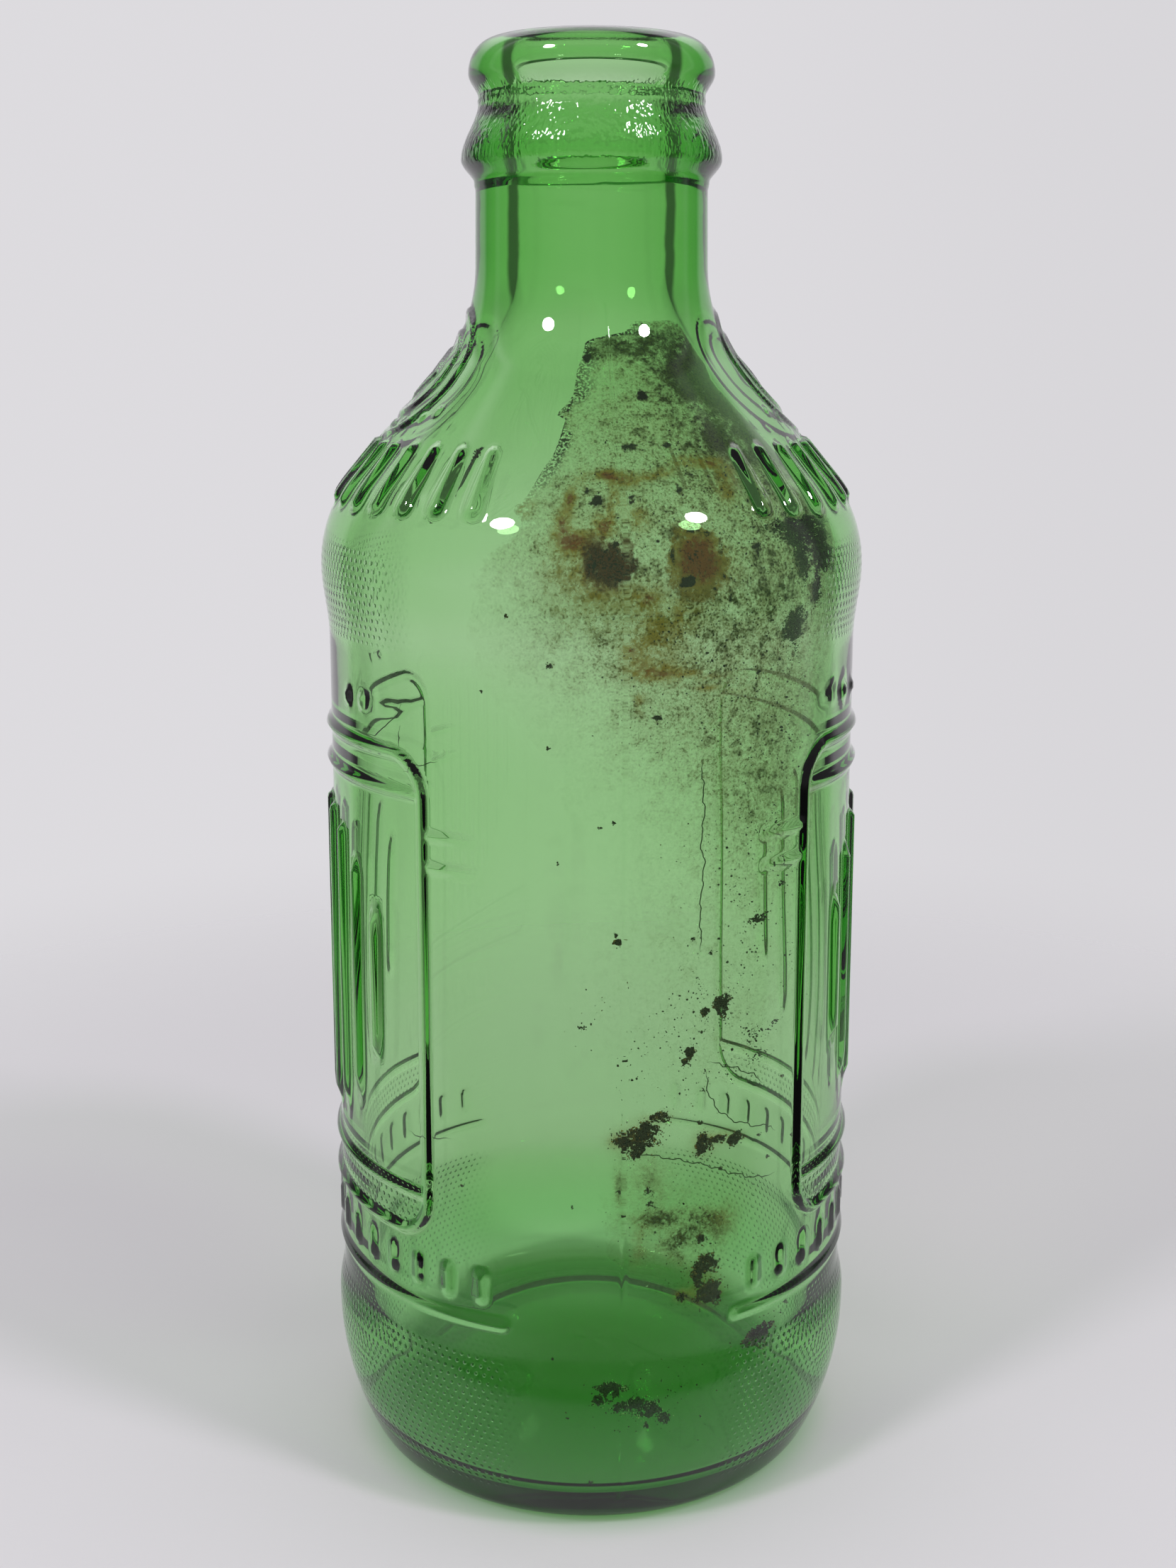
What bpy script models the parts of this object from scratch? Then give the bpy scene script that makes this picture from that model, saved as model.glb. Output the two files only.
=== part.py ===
"""Soda bottle of moulded green glass, with what has dried on its inner wall.

The bottle is one piece of glass: a crown finish over a reinforcing ring, a plain
neck, a sloping shoulder, a straight body with a framed panel on two sides, a swollen
heel and a base pushed up inside its bearing ring. Films, clumps and rust patches
lie on the inside of the wall, each as a piece of its own.

Z is up, the bottle stands on z = 0 with its axis on Z, the two panels face +X
and -X, and the mould's parting lines lie at +Y and -Y.
"""
import math

import bmesh
import bpy
import numpy as np

MM = 0.001
MERGE_DISTANCE = 0.01 * MM

# Foot and heel
FOOT_ROUND = 3.5 * MM
BEARING_WIDTH = 1.6 * MM
PUSH_UP = 3.2 * MM
HEEL_RADIUS = 31.18 * MM
HEEL_CURVE = 33.0 * MM
HEEL_HEIGHT = 16.4 * MM
HEEL_LAND = 1.1 * MM
HEEL_FADE = 5.0 * MM

# Body and shoulder band
BODY_LOW_RADIUS = 30.48 * MM
BODY_TOP_RADIUS = 29.93 * MM
BODY_LENGTH = 76.0 * MM
BAND_RADIUS = 30.62 * MM
BAND_RISE = 7.7 * MM

# Shoulder and neck
SHOULDER_ROUND = 15.0 * MM
SHOULDER_HEIGHT = 32.5 * MM
NECK_SWEEP = 16.0 * MM
NECK_ROOT_RADIUS = 12.8 * MM
NECK_TOP_RADIUS = 12.68 * MM
NECK_LENGTH = 8.3 * MM
ARC_ROOM_SHARE = 0.96

# Crown finish
RING_RADIUS = 14.2 * MM
RING_UNDERSIDE = 2.66 * MM
RING_SLOPE = 6.27 * MM
THROAT_RADIUS = 12.2 * MM
BEAD_RADIUS = 13.3 * MM
BEAD_UNDERSIDE = 2.57 * MM
BEAD_CROWN = 3.5 * MM
LIP_RADIUS = 10.4 * MM
LIP_LAND = 0.8 * MM

# Inside
BORE_RADIUS = 8.66 * MM
MOUTH_FLARE = 2.6 * MM
HEEL_WALL = 3.7 * MM
BODY_LOW_WALL = 3.0 * MM
BODY_TOP_WALL = 2.69 * MM
SHOULDER_WALL = 3.4 * MM
BASE_THICKNESS = 4.2 * MM
FLOOR_CROWN = 3.4 * MM
FLOOR_ROUND = 6.0 * MM

# Moulded ribs. Angles are in degrees, from the middle of each panel.
RIB_WIDTH = 1.6 * MM
RIB_HEIGHT = 0.45 * MM
RIB_ROOT = 0.6 * MM
RIB_CREST_SHARE = 0.45
RIB_SHOULDER_SHARE = 0.35
FRAME_BELOW = 11.7 * MM
FRAME_ABOVE = 9.9 * MM
FRAME_CORNER = 4.6 * MM
FRAME_HALF_ANGLE = 47.2
BAND_SLOT = 4.1 * MM
BAR_LENGTH = 6.4 * MM
BAR_DROP = 8.3 * MM
BAR_PITCH = 3.4 * MM
LEDGE_RISE = 3.3 * MM
LEDGE_HALF_ANGLE = 64.8
PANEL_ANGLES = (90.0, -90.0)

# What has dried on the inner wall
SEAT_GAP = 0.3 * MM
EDGE_THICKNESS = 0.25 * MM
FILM_THICKNESS = 0.5 * MM
RUST_THICKNESS = 0.8 * MM
CLUMP_THICKNESS = 1.5 * MM

# Each piece's middle as (share of a turn, share of the inside height), then its half
# width as a share of a turn and its half height as a share of the inside height
FILM_SHARES = {
    "moss_film_neck": (0.089, 0.7494, 0.139, 0.0427),
    "moss_film_body": (0.028, 0.5466, 0.075, 0.068),
    "mud_film_low": (0.038, 0.1937, 0.028, 0.0181),
}
RUST_SHARES = {
    "rust_patch_left": (-0.0047, 0.658, 0.0146, 0.0123),
    "rust_patch_right": (0.0422, 0.6554, 0.0193, 0.0194),
}
CLUMP_SHARES = {
    "moss_clump_shoulder": (0.1356, 0.6613, 0.017, 0.026),
    "moss_clump_side": (0.1144, 0.612, 0.0093, 0.0142),
    "moss_clump_foot": (0.0083, 0.0518, 0.0221, 0.0097),
    "mud_clump_1": (-0.002, 0.4022, 0.004, 0.0058),
    "mud_clump_2": (0.0611, 0.351, 0.011, 0.0155),
    "mud_clump_3": (0.0406, 0.3174, 0.0064, 0.0104),
    "mud_clump_4": (0.0125, 0.2604, 0.015, 0.013),
    "mud_clump_5": (0.0553, 0.2474, 0.0139, 0.013),
    "mud_clump_6": (0.0511, 0.1535, 0.0081, 0.0104),
    "mud_clump_7": (0.0567, 0.1295, 0.0092, 0.0078),
    "mud_clump_8": (0.0956, 0.0823, 0.0122, 0.0104),
}

# Counts
TURN_STEPS = 56
FILM_SIDES = 24
FILM_RINGS = 4
CLUMP_SIDES = 14
CLUMP_RINGS = 2


def clear_scene():
    """Removes every object, so that the script can be run again."""
    for thing in list(bpy.data.objects):
        bpy.data.objects.remove(thing, do_unlink=True)


def surface_material(name, colour, roughness, transmission=0.0, metallic=0.0):
    """A Principled surface of one plain colour."""
    material = bpy.data.materials.new(name)
    material.use_nodes = True
    shader = material.node_tree.nodes["Principled BSDF"]
    shader.inputs["Base Color"].default_value = (*colour, 1.0)
    shader.inputs["Roughness"].default_value = roughness
    shader.inputs["Metallic"].default_value = metallic
    shader.inputs["Transmission Weight"].default_value = transmission
    material.diffuse_color = (*colour, 1.0)
    return material


def arc(centre, radius, start, end, steps):
    """Points on a circle from one angle to another, both in radians, ends included."""
    return [(centre[0] + radius * math.cos(angle), centre[1] + radius * math.sin(angle))
            for angle in np.linspace(start, end, steps + 1)]


def ease(start, end, steps):
    """An S-shaped run between two points, upright at both ends, without its first point."""
    run = []
    for share in np.linspace(0, 1, steps + 1)[1:]:
        swing = (1 - math.cos(math.pi * share)) / 2
        run.append((start[0] + (end[0] - start[0]) * swing, start[1] + (end[1] - start[1]) * share))
    return run


def inner_tangent(lower, lower_radius, upper, upper_radius):
    """Angle at which one straight line leaves the lower circle and meets the upper one,
    which lies on the line's other side."""
    across, rise = upper[0] - lower[0], upper[1] - lower[1]
    return math.atan2(rise, across) - math.acos((lower_radius + upper_radius) / math.hypot(across, rise))


def shoulder_sweep(lower, lower_radius, upper, upper_radius, steps):
    """Convex arc, straight slope and concave arc, from the band up to the neck."""
    lean = inner_tangent(lower, lower_radius, upper, upper_radius)
    return (arc(lower, lower_radius, 0, lean, steps)
            + arc(upper, upper_radius, math.pi + lean, math.pi, steps))


def shoulder_centres(band_height):
    """Centres and radii of the shoulder's two arcs. On a low shoulder the arcs shrink
    together, so that a straight slope still fits between them, inside and outside."""
    step_in = BAND_RADIUS - NECK_ROOT_RADIUS
    rounds = SHOULDER_ROUND + NECK_SWEEP
    thickening = NECK_ROOT_RADIUS - BORE_RADIUS - SHOULDER_WALL
    room_share = 1.0
    for extra in (0, max(0, thickening)):
        limit = (step_in ** 2 + SHOULDER_HEIGHT ** 2 - extra ** 2) / (2 * rounds * (step_in + extra))
        room_share = min(room_share, limit * ARC_ROOM_SHARE)
    low_round = SHOULDER_ROUND * room_share
    high_round = NECK_SWEEP * room_share
    low_centre = (BAND_RADIUS - low_round, band_height)
    high_centre = (NECK_ROOT_RADIUS + high_round, band_height + SHOULDER_HEIGHT)
    return low_centre, low_round, high_centre, high_round


def foot_centres():
    """Centres of the heel's wide curve and of the foot's round, which rolls inside it
    and touches the ground."""
    heel_centre = (HEEL_RADIUS - HEEL_CURVE, HEEL_HEIGHT)
    reach = math.sqrt((HEEL_CURVE - FOOT_ROUND) ** 2 - (HEEL_HEIGHT - FOOT_ROUND) ** 2)
    return heel_centre, (heel_centre[0] + reach, FOOT_ROUND)


def body_bottom():
    """Height at which the heel has eased into the straight body."""
    return HEEL_HEIGHT + HEEL_LAND + HEEL_FADE


def band_height():
    """Height of the shoulder band's widest line."""
    return body_bottom() + BODY_LENGTH + BAND_RISE


def outer_profile():
    """(radius, height) up the outside, from the bearing ring to the lip's outer edge."""
    heel_centre, foot_centre = foot_centres()
    lean = math.atan2(foot_centre[1] - heel_centre[1], foot_centre[0] - heel_centre[0])
    points = arc(foot_centre, FOOT_ROUND, -math.pi / 2, lean, 4)
    points += arc(heel_centre, HEEL_CURVE, lean, 0, 4)[1:]
    points.append((HEEL_RADIUS, HEEL_HEIGHT + HEEL_LAND))
    points += ease(points[-1], (BODY_LOW_RADIUS, body_bottom()), 4)
    points.append((BODY_TOP_RADIUS, body_bottom() + BODY_LENGTH))
    points += ease(points[-1], (BAND_RADIUS, band_height()), 4)
    points += shoulder_sweep(*shoulder_centres(band_height()), 5)[1:]
    points.append((NECK_TOP_RADIUS, points[-1][1] + NECK_LENGTH))
    points += ease(points[-1], (RING_RADIUS, points[-1][1] + RING_UNDERSIDE), 4)
    points += ease(points[-1], (THROAT_RADIUS, points[-1][1] + RING_SLOPE), 5)
    points += ease(points[-1], (BEAD_RADIUS, points[-1][1] + BEAD_UNDERSIDE), 4)
    bead_height = points[-1][1]
    for angle in np.linspace(0, math.pi / 2, 6)[1:]:
        points.append((LIP_RADIUS + (BEAD_RADIUS - LIP_RADIUS) * math.cos(angle),
                       bead_height + BEAD_CROWN * math.sin(angle)))
    return points


def floor_radius():
    """Radius at which the inside floor meets the round that turns up into the wall."""
    return HEEL_RADIUS - HEEL_WALL - FLOOR_ROUND


def floor_profile():
    """(radius, height) of the inside floor, from its raised middle out to the wall's round."""
    reach = floor_radius()
    return [(reach * share, BASE_THICKNESS + FLOOR_CROWN * (1 + math.cos(math.pi * share)) / 2)
            for share in (0, 0.3, 0.6)]


def wall_profile(lip_height):
    """(radius, height) up the inside, from the floor's edge to the lip's inner edge."""
    low_centre, low_round, high_centre, _ = shoulder_centres(band_height())
    points = arc((floor_radius(), BASE_THICKNESS + FLOOR_ROUND), FLOOR_ROUND, -math.pi / 2, 0, 5)
    points.append((BODY_LOW_RADIUS - BODY_LOW_WALL, body_bottom()))
    points.append((BODY_TOP_RADIUS - BODY_TOP_WALL, body_bottom() + BODY_LENGTH))
    sweep = shoulder_sweep(low_centre, low_round - SHOULDER_WALL,
                           high_centre, high_centre[0] - BORE_RADIUS, 5)
    points += ease(points[-1], sweep[0], 2) + sweep[1:]
    points.append((BORE_RADIUS, lip_height - MOUTH_FLARE))
    points += ease(points[-1], (LIP_RADIUS - LIP_LAND, lip_height), 3)
    return points


def underside_profile():
    """(radius, height) of the underside, from the bearing ring in to the axis."""
    ring_edge = foot_centres()[1][0] - BEARING_WIDTH
    points = [(ring_edge, 0)]
    for share in (0.25, 0.5, 0.75, 1):
        points.append((ring_edge * (1 - share), PUSH_UP * math.sin(math.pi / 2 * share)))
    return points


def wall_radius_at(profile, heights):
    """Radius of a wall at given heights, between the points of its profile."""
    radii, levels = np.array(profile).T
    return np.interp(heights, levels, radii)


def link(name, mesh, material, parent):
    """A smooth shaded object that hangs from the bottle's empty."""
    mesh.shade_smooth()
    mesh.set_sharp_from_angle(angle=math.radians(40))
    mesh.materials.append(material)
    thing = bpy.data.objects.new(name, mesh)
    thing.parent = parent
    bpy.context.collection.objects.link(thing)
    return thing


def turned_blank(name, material, parent, outer, wall):
    """The bottle's wall as one profile, turned about Z. The profile runs from the floor
    up the inside, over the lip, down the outside and in under the base."""
    outline = floor_profile() + wall + outer[::-1] + underside_profile()
    mesh = bpy.data.meshes.new(name)
    edges = [(index, index + 1) for index in range(len(outline) - 1)]
    mesh.from_pydata([(radius, 0, height) for radius, height in outline], edges, [])
    bottle = link(name, mesh, material, parent)
    turn = bottle.modifiers.new("turn", "SCREW")
    turn.axis = "Z"
    turn.steps = TURN_STEPS
    turn.render_steps = TURN_STEPS
    turn.use_merge_vertices = True
    turn.merge_threshold = MERGE_DISTANCE
    turn.use_smooth_shade = True
    return bottle


def rib_section():
    """The rib's cross section as (across, outwards), rooted in the wall."""
    half_width = RIB_WIDTH / 2
    half_crest = half_width * RIB_CREST_SHARE
    shoulder = RIB_HEIGHT * RIB_SHOULDER_SHARE
    return np.array([(-half_width, -RIB_ROOT), (-half_width, shoulder), (-half_crest, RIB_HEIGHT),
                     (half_crest, RIB_HEIGHT), (half_width, shoulder), (half_width, -RIB_ROOT)])


def rib(name, path, outer, girth_radius, middle, closed):
    """A rib carried along a path of (distance round the girth, height), wrapped on the
    wall. Each point of the path gets one cross section, square to the path."""
    path = np.array(path)
    if closed:
        along = np.roll(path, -1, axis=0) - np.roll(path, 1, axis=0)
    else:
        along = np.gradient(path, axis=0)
    along /= np.linalg.norm(along, axis=1)[:, None]
    across = np.stack([-along[:, 1], along[:, 0]], axis=1)
    section = rib_section()
    flat = path[:, None, :] + across[:, None, :] * section[None, :, :1]
    radius = wall_radius_at(outer, flat[..., 1]) + section[None, :, 1]
    angle = math.radians(middle) + flat[..., 0] / girth_radius
    points = np.stack([radius * np.sin(angle), -radius * np.cos(angle), flat[..., 1]], axis=-1)

    shape = bmesh.new()
    rings = [[shape.verts.new(point) for point in ring] for ring in points]
    sides = len(section)
    runs = len(rings) if closed else len(rings) - 1
    for run in range(runs):
        ring, following = rings[run], rings[(run + 1) % len(rings)]
        for side in range(sides):
            other = (side + 1) % sides
            shape.faces.new((ring[side], ring[other], following[other], following[side]))
    if not closed:
        shape.faces.new(rings[0][::-1])
        shape.faces.new(rings[-1])
    bmesh.ops.recalc_face_normals(shape, faces=shape.faces)
    mesh = bpy.data.meshes.new(name)
    shape.to_mesh(mesh)
    shape.free()
    return mesh


def level_run(start, end, height, step):
    """Points of a level line, no further apart than one facet of the bottle."""
    pieces = max(1, math.ceil(abs(end - start) / step))
    return [(place, height) for place in np.linspace(start, end, pieces + 1)]


def frame_path(half_girth, bottom, top, step):
    """A closed rectangle with rounded corners, unrolled flat."""
    reach = half_girth - FRAME_CORNER
    path = level_run(-reach, reach, bottom, step)
    path += arc((reach, bottom + FRAME_CORNER), FRAME_CORNER, -math.pi / 2, 0, 4)[1:]
    path += arc((reach, top - FRAME_CORNER), FRAME_CORNER, 0, math.pi / 2, 4)
    path += level_run(reach, -reach, top, step)[1:]
    path += arc((-reach, top - FRAME_CORNER), FRAME_CORNER, math.pi / 2, math.pi, 4)[1:]
    path += arc((-reach, bottom + FRAME_CORNER), FRAME_CORNER, math.pi, 1.5 * math.pi, 4)[:-1]
    return path


def panel_ribs(outer, middle):
    """Meshes of the ribs round one panel: its frame, the two rails that close off a slot
    at the top and at the bottom, two bars on each side and the long ledge below."""
    girth_radius = float(wall_radius_at(outer, body_bottom() + BODY_LENGTH / 2))
    step = girth_radius * 2 * math.pi / TURN_STEPS
    half_girth = girth_radius * math.radians(FRAME_HALF_ANGLE)
    bottom = body_bottom() + FRAME_BELOW
    top = body_bottom() + BODY_LENGTH - FRAME_ABOVE
    meshes = [rib("frame", frame_path(half_girth, bottom, top, step), outer, girth_radius, middle, True)]
    for height in (bottom + BAND_SLOT + RIB_WIDTH / 2, top - BAND_SLOT):
        path = level_run(-half_girth, half_girth, height, step)
        meshes.append(rib("rail", path, outer, girth_radius, middle, False))
    for side in (-1, 1):
        for place in range(2):
            height = top - BAR_DROP - place * BAR_PITCH
            path = level_run(side * half_girth, side * (half_girth + BAR_LENGTH), height, step)
            meshes.append(rib("bar", path, outer, girth_radius, middle, False))
    ledge_girth = girth_radius * math.radians(LEDGE_HALF_ANGLE)
    path = level_run(-ledge_girth, ledge_girth, body_bottom() + LEDGE_RISE, step)
    meshes.append(rib("ledge", path, outer, girth_radius, middle, False))
    return meshes


def add_ribs(bottle, outer, parent):
    """Joins the ribs of both panels to the wall."""
    moulding = bpy.data.collections.new("moulding")
    bpy.context.scene.collection.children.link(moulding)
    for number, middle in enumerate(PANEL_ANGLES, start=1):
        for order, mesh in enumerate(panel_ribs(outer, middle), start=1):
            guide = bpy.data.objects.new(f"rib_{number}_{order}", mesh)
            guide.parent = parent
            guide.hide_render = True
            guide.display_type = "WIRE"
            moulding.objects.link(guide)
    weld = bottle.modifiers.new("ribs", "BOOLEAN")
    weld.operation = "UNION"
    weld.solver = "EXACT"
    weld.operand_type = "COLLECTION"
    weld.collection = moulding


def ragged_edge(angles, seed):
    """Reach of an uneven outline in each direction, as a share of its half size."""
    return (1 + 0.10 * np.sin(2 * angles + seed) + 0.06 * np.sin(3 * angles + 1.7 * seed)
            + 0.04 * np.sin(5 * angles + 2.3 * seed))


def wall_crust(name, spot_shares, thickness, sides, rings, seed, material, parent, wall):
    """A dried patch that follows the inner wall. Round its middle run rings of points.
    Its back lies one seat gap off the glass, and its front bulges towards the axis."""
    turn_share, height_share, wide_share, tall_share = spot_shares
    floor = BASE_THICKNESS + FLOOR_CROWN
    inside_height = wall[-1][1] - floor

    angles = np.linspace(0, 2 * math.pi, sides, endpoint=False)
    steps = np.linspace(0, 1, rings + 1)[1:]
    reach = steps[:, None] * ragged_edge(angles, seed)[None, :]
    sideways = np.concatenate([[0], (reach * np.cos(angles)).ravel()])
    upwards = np.concatenate([[0], (reach * np.sin(angles)).ravel()])
    azimuth = 2 * math.pi * (turn_share + wide_share * sideways)
    heights = floor + inside_height * (height_share + tall_share * upwards)

    radii, levels = np.array(wall).T
    radius = np.interp(heights, levels, radii)
    lean = np.arctan(np.interp(heights, levels, np.gradient(radii, levels)))
    edge_share = np.concatenate([[0], np.repeat(steps, sides)])
    bulge = EDGE_THICKNESS + (thickness - EDGE_THICKNESS) * (1 - edge_share ** 2)

    shape = bmesh.new()
    layers = []
    for offset in (np.full_like(bulge, SEAT_GAP), SEAT_GAP + bulge):
        distance = radius - offset * np.cos(lean)
        level = heights + offset * np.sin(lean)
        points = np.stack([distance * np.sin(azimuth), -distance * np.cos(azimuth), level], axis=1)
        layers.append([shape.verts.new(point) for point in points])
    for layer in layers:
        for side in range(sides):
            other = (side + 1) % sides
            shape.faces.new((layer[0], layer[1 + side], layer[1 + other]))
            for ring in range(rings - 1):
                low, high = 1 + ring * sides, 1 + (ring + 1) * sides
                shape.faces.new((layer[low + side], layer[high + side],
                                 layer[high + other], layer[low + other]))
    rim = 1 + (rings - 1) * sides
    for side in range(sides):
        other = (side + 1) % sides
        shape.faces.new((layers[0][rim + side], layers[1][rim + side],
                         layers[1][rim + other], layers[0][rim + other]))
    bmesh.ops.recalc_face_normals(shape, faces=shape.faces)
    mesh = bpy.data.meshes.new(name)
    shape.to_mesh(mesh)
    shape.free()
    return link(name, mesh, material, parent)


def build_bottle(parent, outer, wall):
    """The glass: a turned wall with the ribs of the two panels welded on."""
    glass = surface_material("green glass", (0.09, 0.42, 0.10), 0.03, transmission=1.0)
    glass.node_tree.nodes["Principled BSDF"].inputs["IOR"].default_value = 1.52
    bottle = turned_blank("glass_bottle", glass, parent, outer, wall)
    add_ribs(bottle, outer, parent)


def build_crusts(parent, wall):
    """The films, rust patches and clumps, each in its own object."""
    moss = surface_material("dried moss", (0.09, 0.11, 0.045), 0.95)
    mud = surface_material("dried mud", (0.06, 0.045, 0.03), 0.95)
    rust = surface_material("rust stain", (0.20, 0.075, 0.03), 0.9)
    kinds = ((FILM_SHARES, FILM_THICKNESS, FILM_SIDES, FILM_RINGS),
             (RUST_SHARES, RUST_THICKNESS, CLUMP_SIDES, CLUMP_RINGS),
             (CLUMP_SHARES, CLUMP_THICKNESS, CLUMP_SIDES, CLUMP_RINGS))
    finishes = {"moss": moss, "mud": mud, "rust": rust}
    seed = 0
    for spots, thickness, sides, rings in kinds:
        for name, spot_shares in spots.items():
            seed += 1
            finish = finishes[name.split("_")[0]]
            wall_crust(name, spot_shares, thickness, sides, rings, seed, finish, parent, wall)


def main():
    clear_scene()
    stand = bpy.data.objects.new("soda_bottle", None)
    bpy.context.collection.objects.link(stand)
    outer = outer_profile()
    wall = wall_profile(outer[-1][1])
    build_bottle(stand, outer, wall)
    build_crusts(stand, wall)


if __name__ == "__main__":
    main()
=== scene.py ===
"""Finished look of a soda bottle in moulded green glass, with what has dried inside it.

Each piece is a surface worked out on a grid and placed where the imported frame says.
Azimuths run from -Y towards +X, so the two framed panels face 90 and -90 degrees
and the mould's parting lines lie at 0 and 180 degrees. Tables are in mm and degrees.
"""
import math
from functools import partial

import bpy
import numpy as np
from bpy.props import FloatProperty, IntProperty, PointerProperty, StringProperty
from bpy.types import Operator, Panel, PropertyGroup
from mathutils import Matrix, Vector


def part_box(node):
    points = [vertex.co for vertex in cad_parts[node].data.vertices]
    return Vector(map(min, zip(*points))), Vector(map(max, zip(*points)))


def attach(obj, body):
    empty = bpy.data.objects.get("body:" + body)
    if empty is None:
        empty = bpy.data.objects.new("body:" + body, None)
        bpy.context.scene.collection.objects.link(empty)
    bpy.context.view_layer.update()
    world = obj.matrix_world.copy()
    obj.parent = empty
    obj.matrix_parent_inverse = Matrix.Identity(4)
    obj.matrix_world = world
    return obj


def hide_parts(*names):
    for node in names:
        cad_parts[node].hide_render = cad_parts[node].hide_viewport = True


bl_info = {
    "name": "Soda Bottle Finish",
    "version": (1, 0, 0),
    "blender": (4, 5, 0),
    "location": "View3D > Sidebar > Bottle",
    "description": "Moulded glass, dried moss, mud and rust for a soda bottle",
    "category": "Add Mesh",
}

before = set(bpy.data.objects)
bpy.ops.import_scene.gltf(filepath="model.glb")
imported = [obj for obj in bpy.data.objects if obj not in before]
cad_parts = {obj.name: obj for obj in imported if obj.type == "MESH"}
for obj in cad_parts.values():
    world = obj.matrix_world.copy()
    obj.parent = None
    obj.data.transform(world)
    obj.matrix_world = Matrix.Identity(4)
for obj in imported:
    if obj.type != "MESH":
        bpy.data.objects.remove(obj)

MM = 0.001
BODY = "root"
TURN = 2 * math.pi
MOUTH_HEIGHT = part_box("glass_bottle")[1].z
WIDEST_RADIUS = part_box("glass_bottle")[1].y
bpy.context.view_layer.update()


def length(description, millimetres):
    """A length property, given in millimetres and kept in metres."""
    return FloatProperty(description=description, default=millimetres * MM,
                         min=0.0, precision=5, unit="LENGTH", subtype="DISTANCE")


def angle(description, degrees):
    """An angle property, given in degrees and kept in radians."""
    return FloatProperty(description=description, default=math.radians(degrees),
                         subtype="ANGLE", unit="ROTATION")


def tint(description, code):
    """A colour property, given as an sRGB hex code and kept as that code."""
    return StringProperty(description=description, default=code)


class BottleWall(PropertyGroup):
    """Sizes of the turned glass."""
    foot_round: length("Radius of the round between bearing ring and heel", 3.5)
    bearing_width: length("Width of the ring that the bottle stands on", 1.6)
    push_up: length("Rise of the underside inside its bearing ring", 3.2)
    heel_curve: length("Radius of the heel's curve, seen from the side", 33.0)
    heel_height: length("Height of the heel's widest line", 16.4)
    heel_land: length("Upright stretch above the heel's widest line", 1.1)
    heel_fade: length("Height in which the heel eases into the body", 5.0)
    body_low_radius: length("Body radius just above the heel", 30.48)
    body_top_radius: length("Body radius under the shoulder band", 29.93)
    body_length: length("Length of the straight body", 76.0)
    band_radius: length("Radius of the swollen band under the shoulder", 30.62)
    band_rise: length("Height in which the body swells to the band", 7.7)
    shoulder_round: length("Radius of the shoulder's outward curve", 15.0)
    shoulder_height: length("Height from the band to the neck", 32.5)
    neck_sweep: length("Radius of the inward curve under the neck", 16.0)
    neck_root_radius: length("Radius at the bottom of the neck", 12.8)
    neck_top_radius: length("Radius at the top of the neck", 12.68)
    neck_length: length("Length of the straight neck", 8.3)
    ring_radius: length("Radius of the reinforcing ring", 14.2)
    ring_underside: length("Height of the ring's underside", 2.66)
    ring_slope: length("Height of the slope above the ring", 6.27)
    throat_radius: length("Radius of the waist under the sealing bead", 12.2)
    bead_radius: length("Radius of the bead that a crown cap grips", 13.3)
    bead_underside: length("Height of the bead's underside", 2.57)
    bead_crown: length("Height of the bead's round top", 3.5)
    lip_radius: length("Outer radius of the lip's flat", 10.4)
    lip_land: length("Width of the lip's flat", 0.8)
    bore_radius: length("Radius of the bore", 8.66)
    mouth_flare: length("Depth of the flare at the mouth", 2.6)
    heel_wall: length("Wall thickness in the heel", 3.7)
    body_low_wall: length("Wall thickness at the bottom of the body", 3.0)
    body_top_wall: length("Wall thickness at the top of the body", 2.69)
    shoulder_wall: length("Wall thickness in the shoulder", 3.4)
    base_thickness: length("Thickness of the base at its lowest", 4.2)
    floor_crown: length("Rise of the inside floor in its middle", 3.4)
    floor_round: length("Radius between inside floor and wall", 3.6)


class BottleMoulding(PropertyGroup):
    """Sizes of what the mould leaves on the glass."""
    rib_width: length("Width of the moulded ribs", 1.6)
    rib_height: length("Height of the moulded ribs", 0.56)
    frame_below: length("From the bottom of the body to the frame", 11.7)
    frame_above: length("From the frame to the top of the body", 9.9)
    frame_corner: length("Corner radius of the frame", 4.6)
    frame_half_angle: angle("Half the angle that a frame spans", 47.2)
    ledge_half_angle: angle("Half the angle that the ledge spans", 64.8)
    slot: length("Height of the slot between frame and rail", 4.1)
    bar_length: length("Length of the bars beside a frame", 6.4)
    bar_drop: length("From the frame's top to the upper bar", 8.3)
    bar_pitch: length("Distance between the two bars", 3.4)
    ledge_rise: length("From the bottom of the body to the ledge", 3.3)
    stipple_height: length("Height of the stipple's dots", 0.12)
    stipple_row: length("Distance between rows of dots", 0.87)
    stipple_dots: IntProperty(description="Dots of stipple in one turn of the bottle", default=192, min=64)
    flute_pitch: length("Distance between the flutes of a panel", 4.2)
    flute_height: length("Height of a flute over the glass", 0.7)
    drop_height: length("Height of the shoulder's drops over the glass", 0.6)
    mark_height: length("Height of the studs and dots over the glass", 0.38)
    oval_height: length("Height of the neck's medallion over the glass", 0.3)
    seam_height: length("Height of the parting line's ridge", 0.08)
    wave: length("Unevenness of the blown inner wall", 0.05)


class BottleDeposits(PropertyGroup):
    """Sizes of what has dried on the inner wall."""
    clearance: length("Gap between the glass and the film on it", 0.28)
    crumb_clearance: length("Gap between the glass and the nearest crumbs", 0.065)
    film: length("Thickness of the thin film", 0.05)
    crust: length("Extra thickness of the film where the moss is dense", 0.3)
    crumb: length("Radius of the largest crumbs", 0.25)


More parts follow.
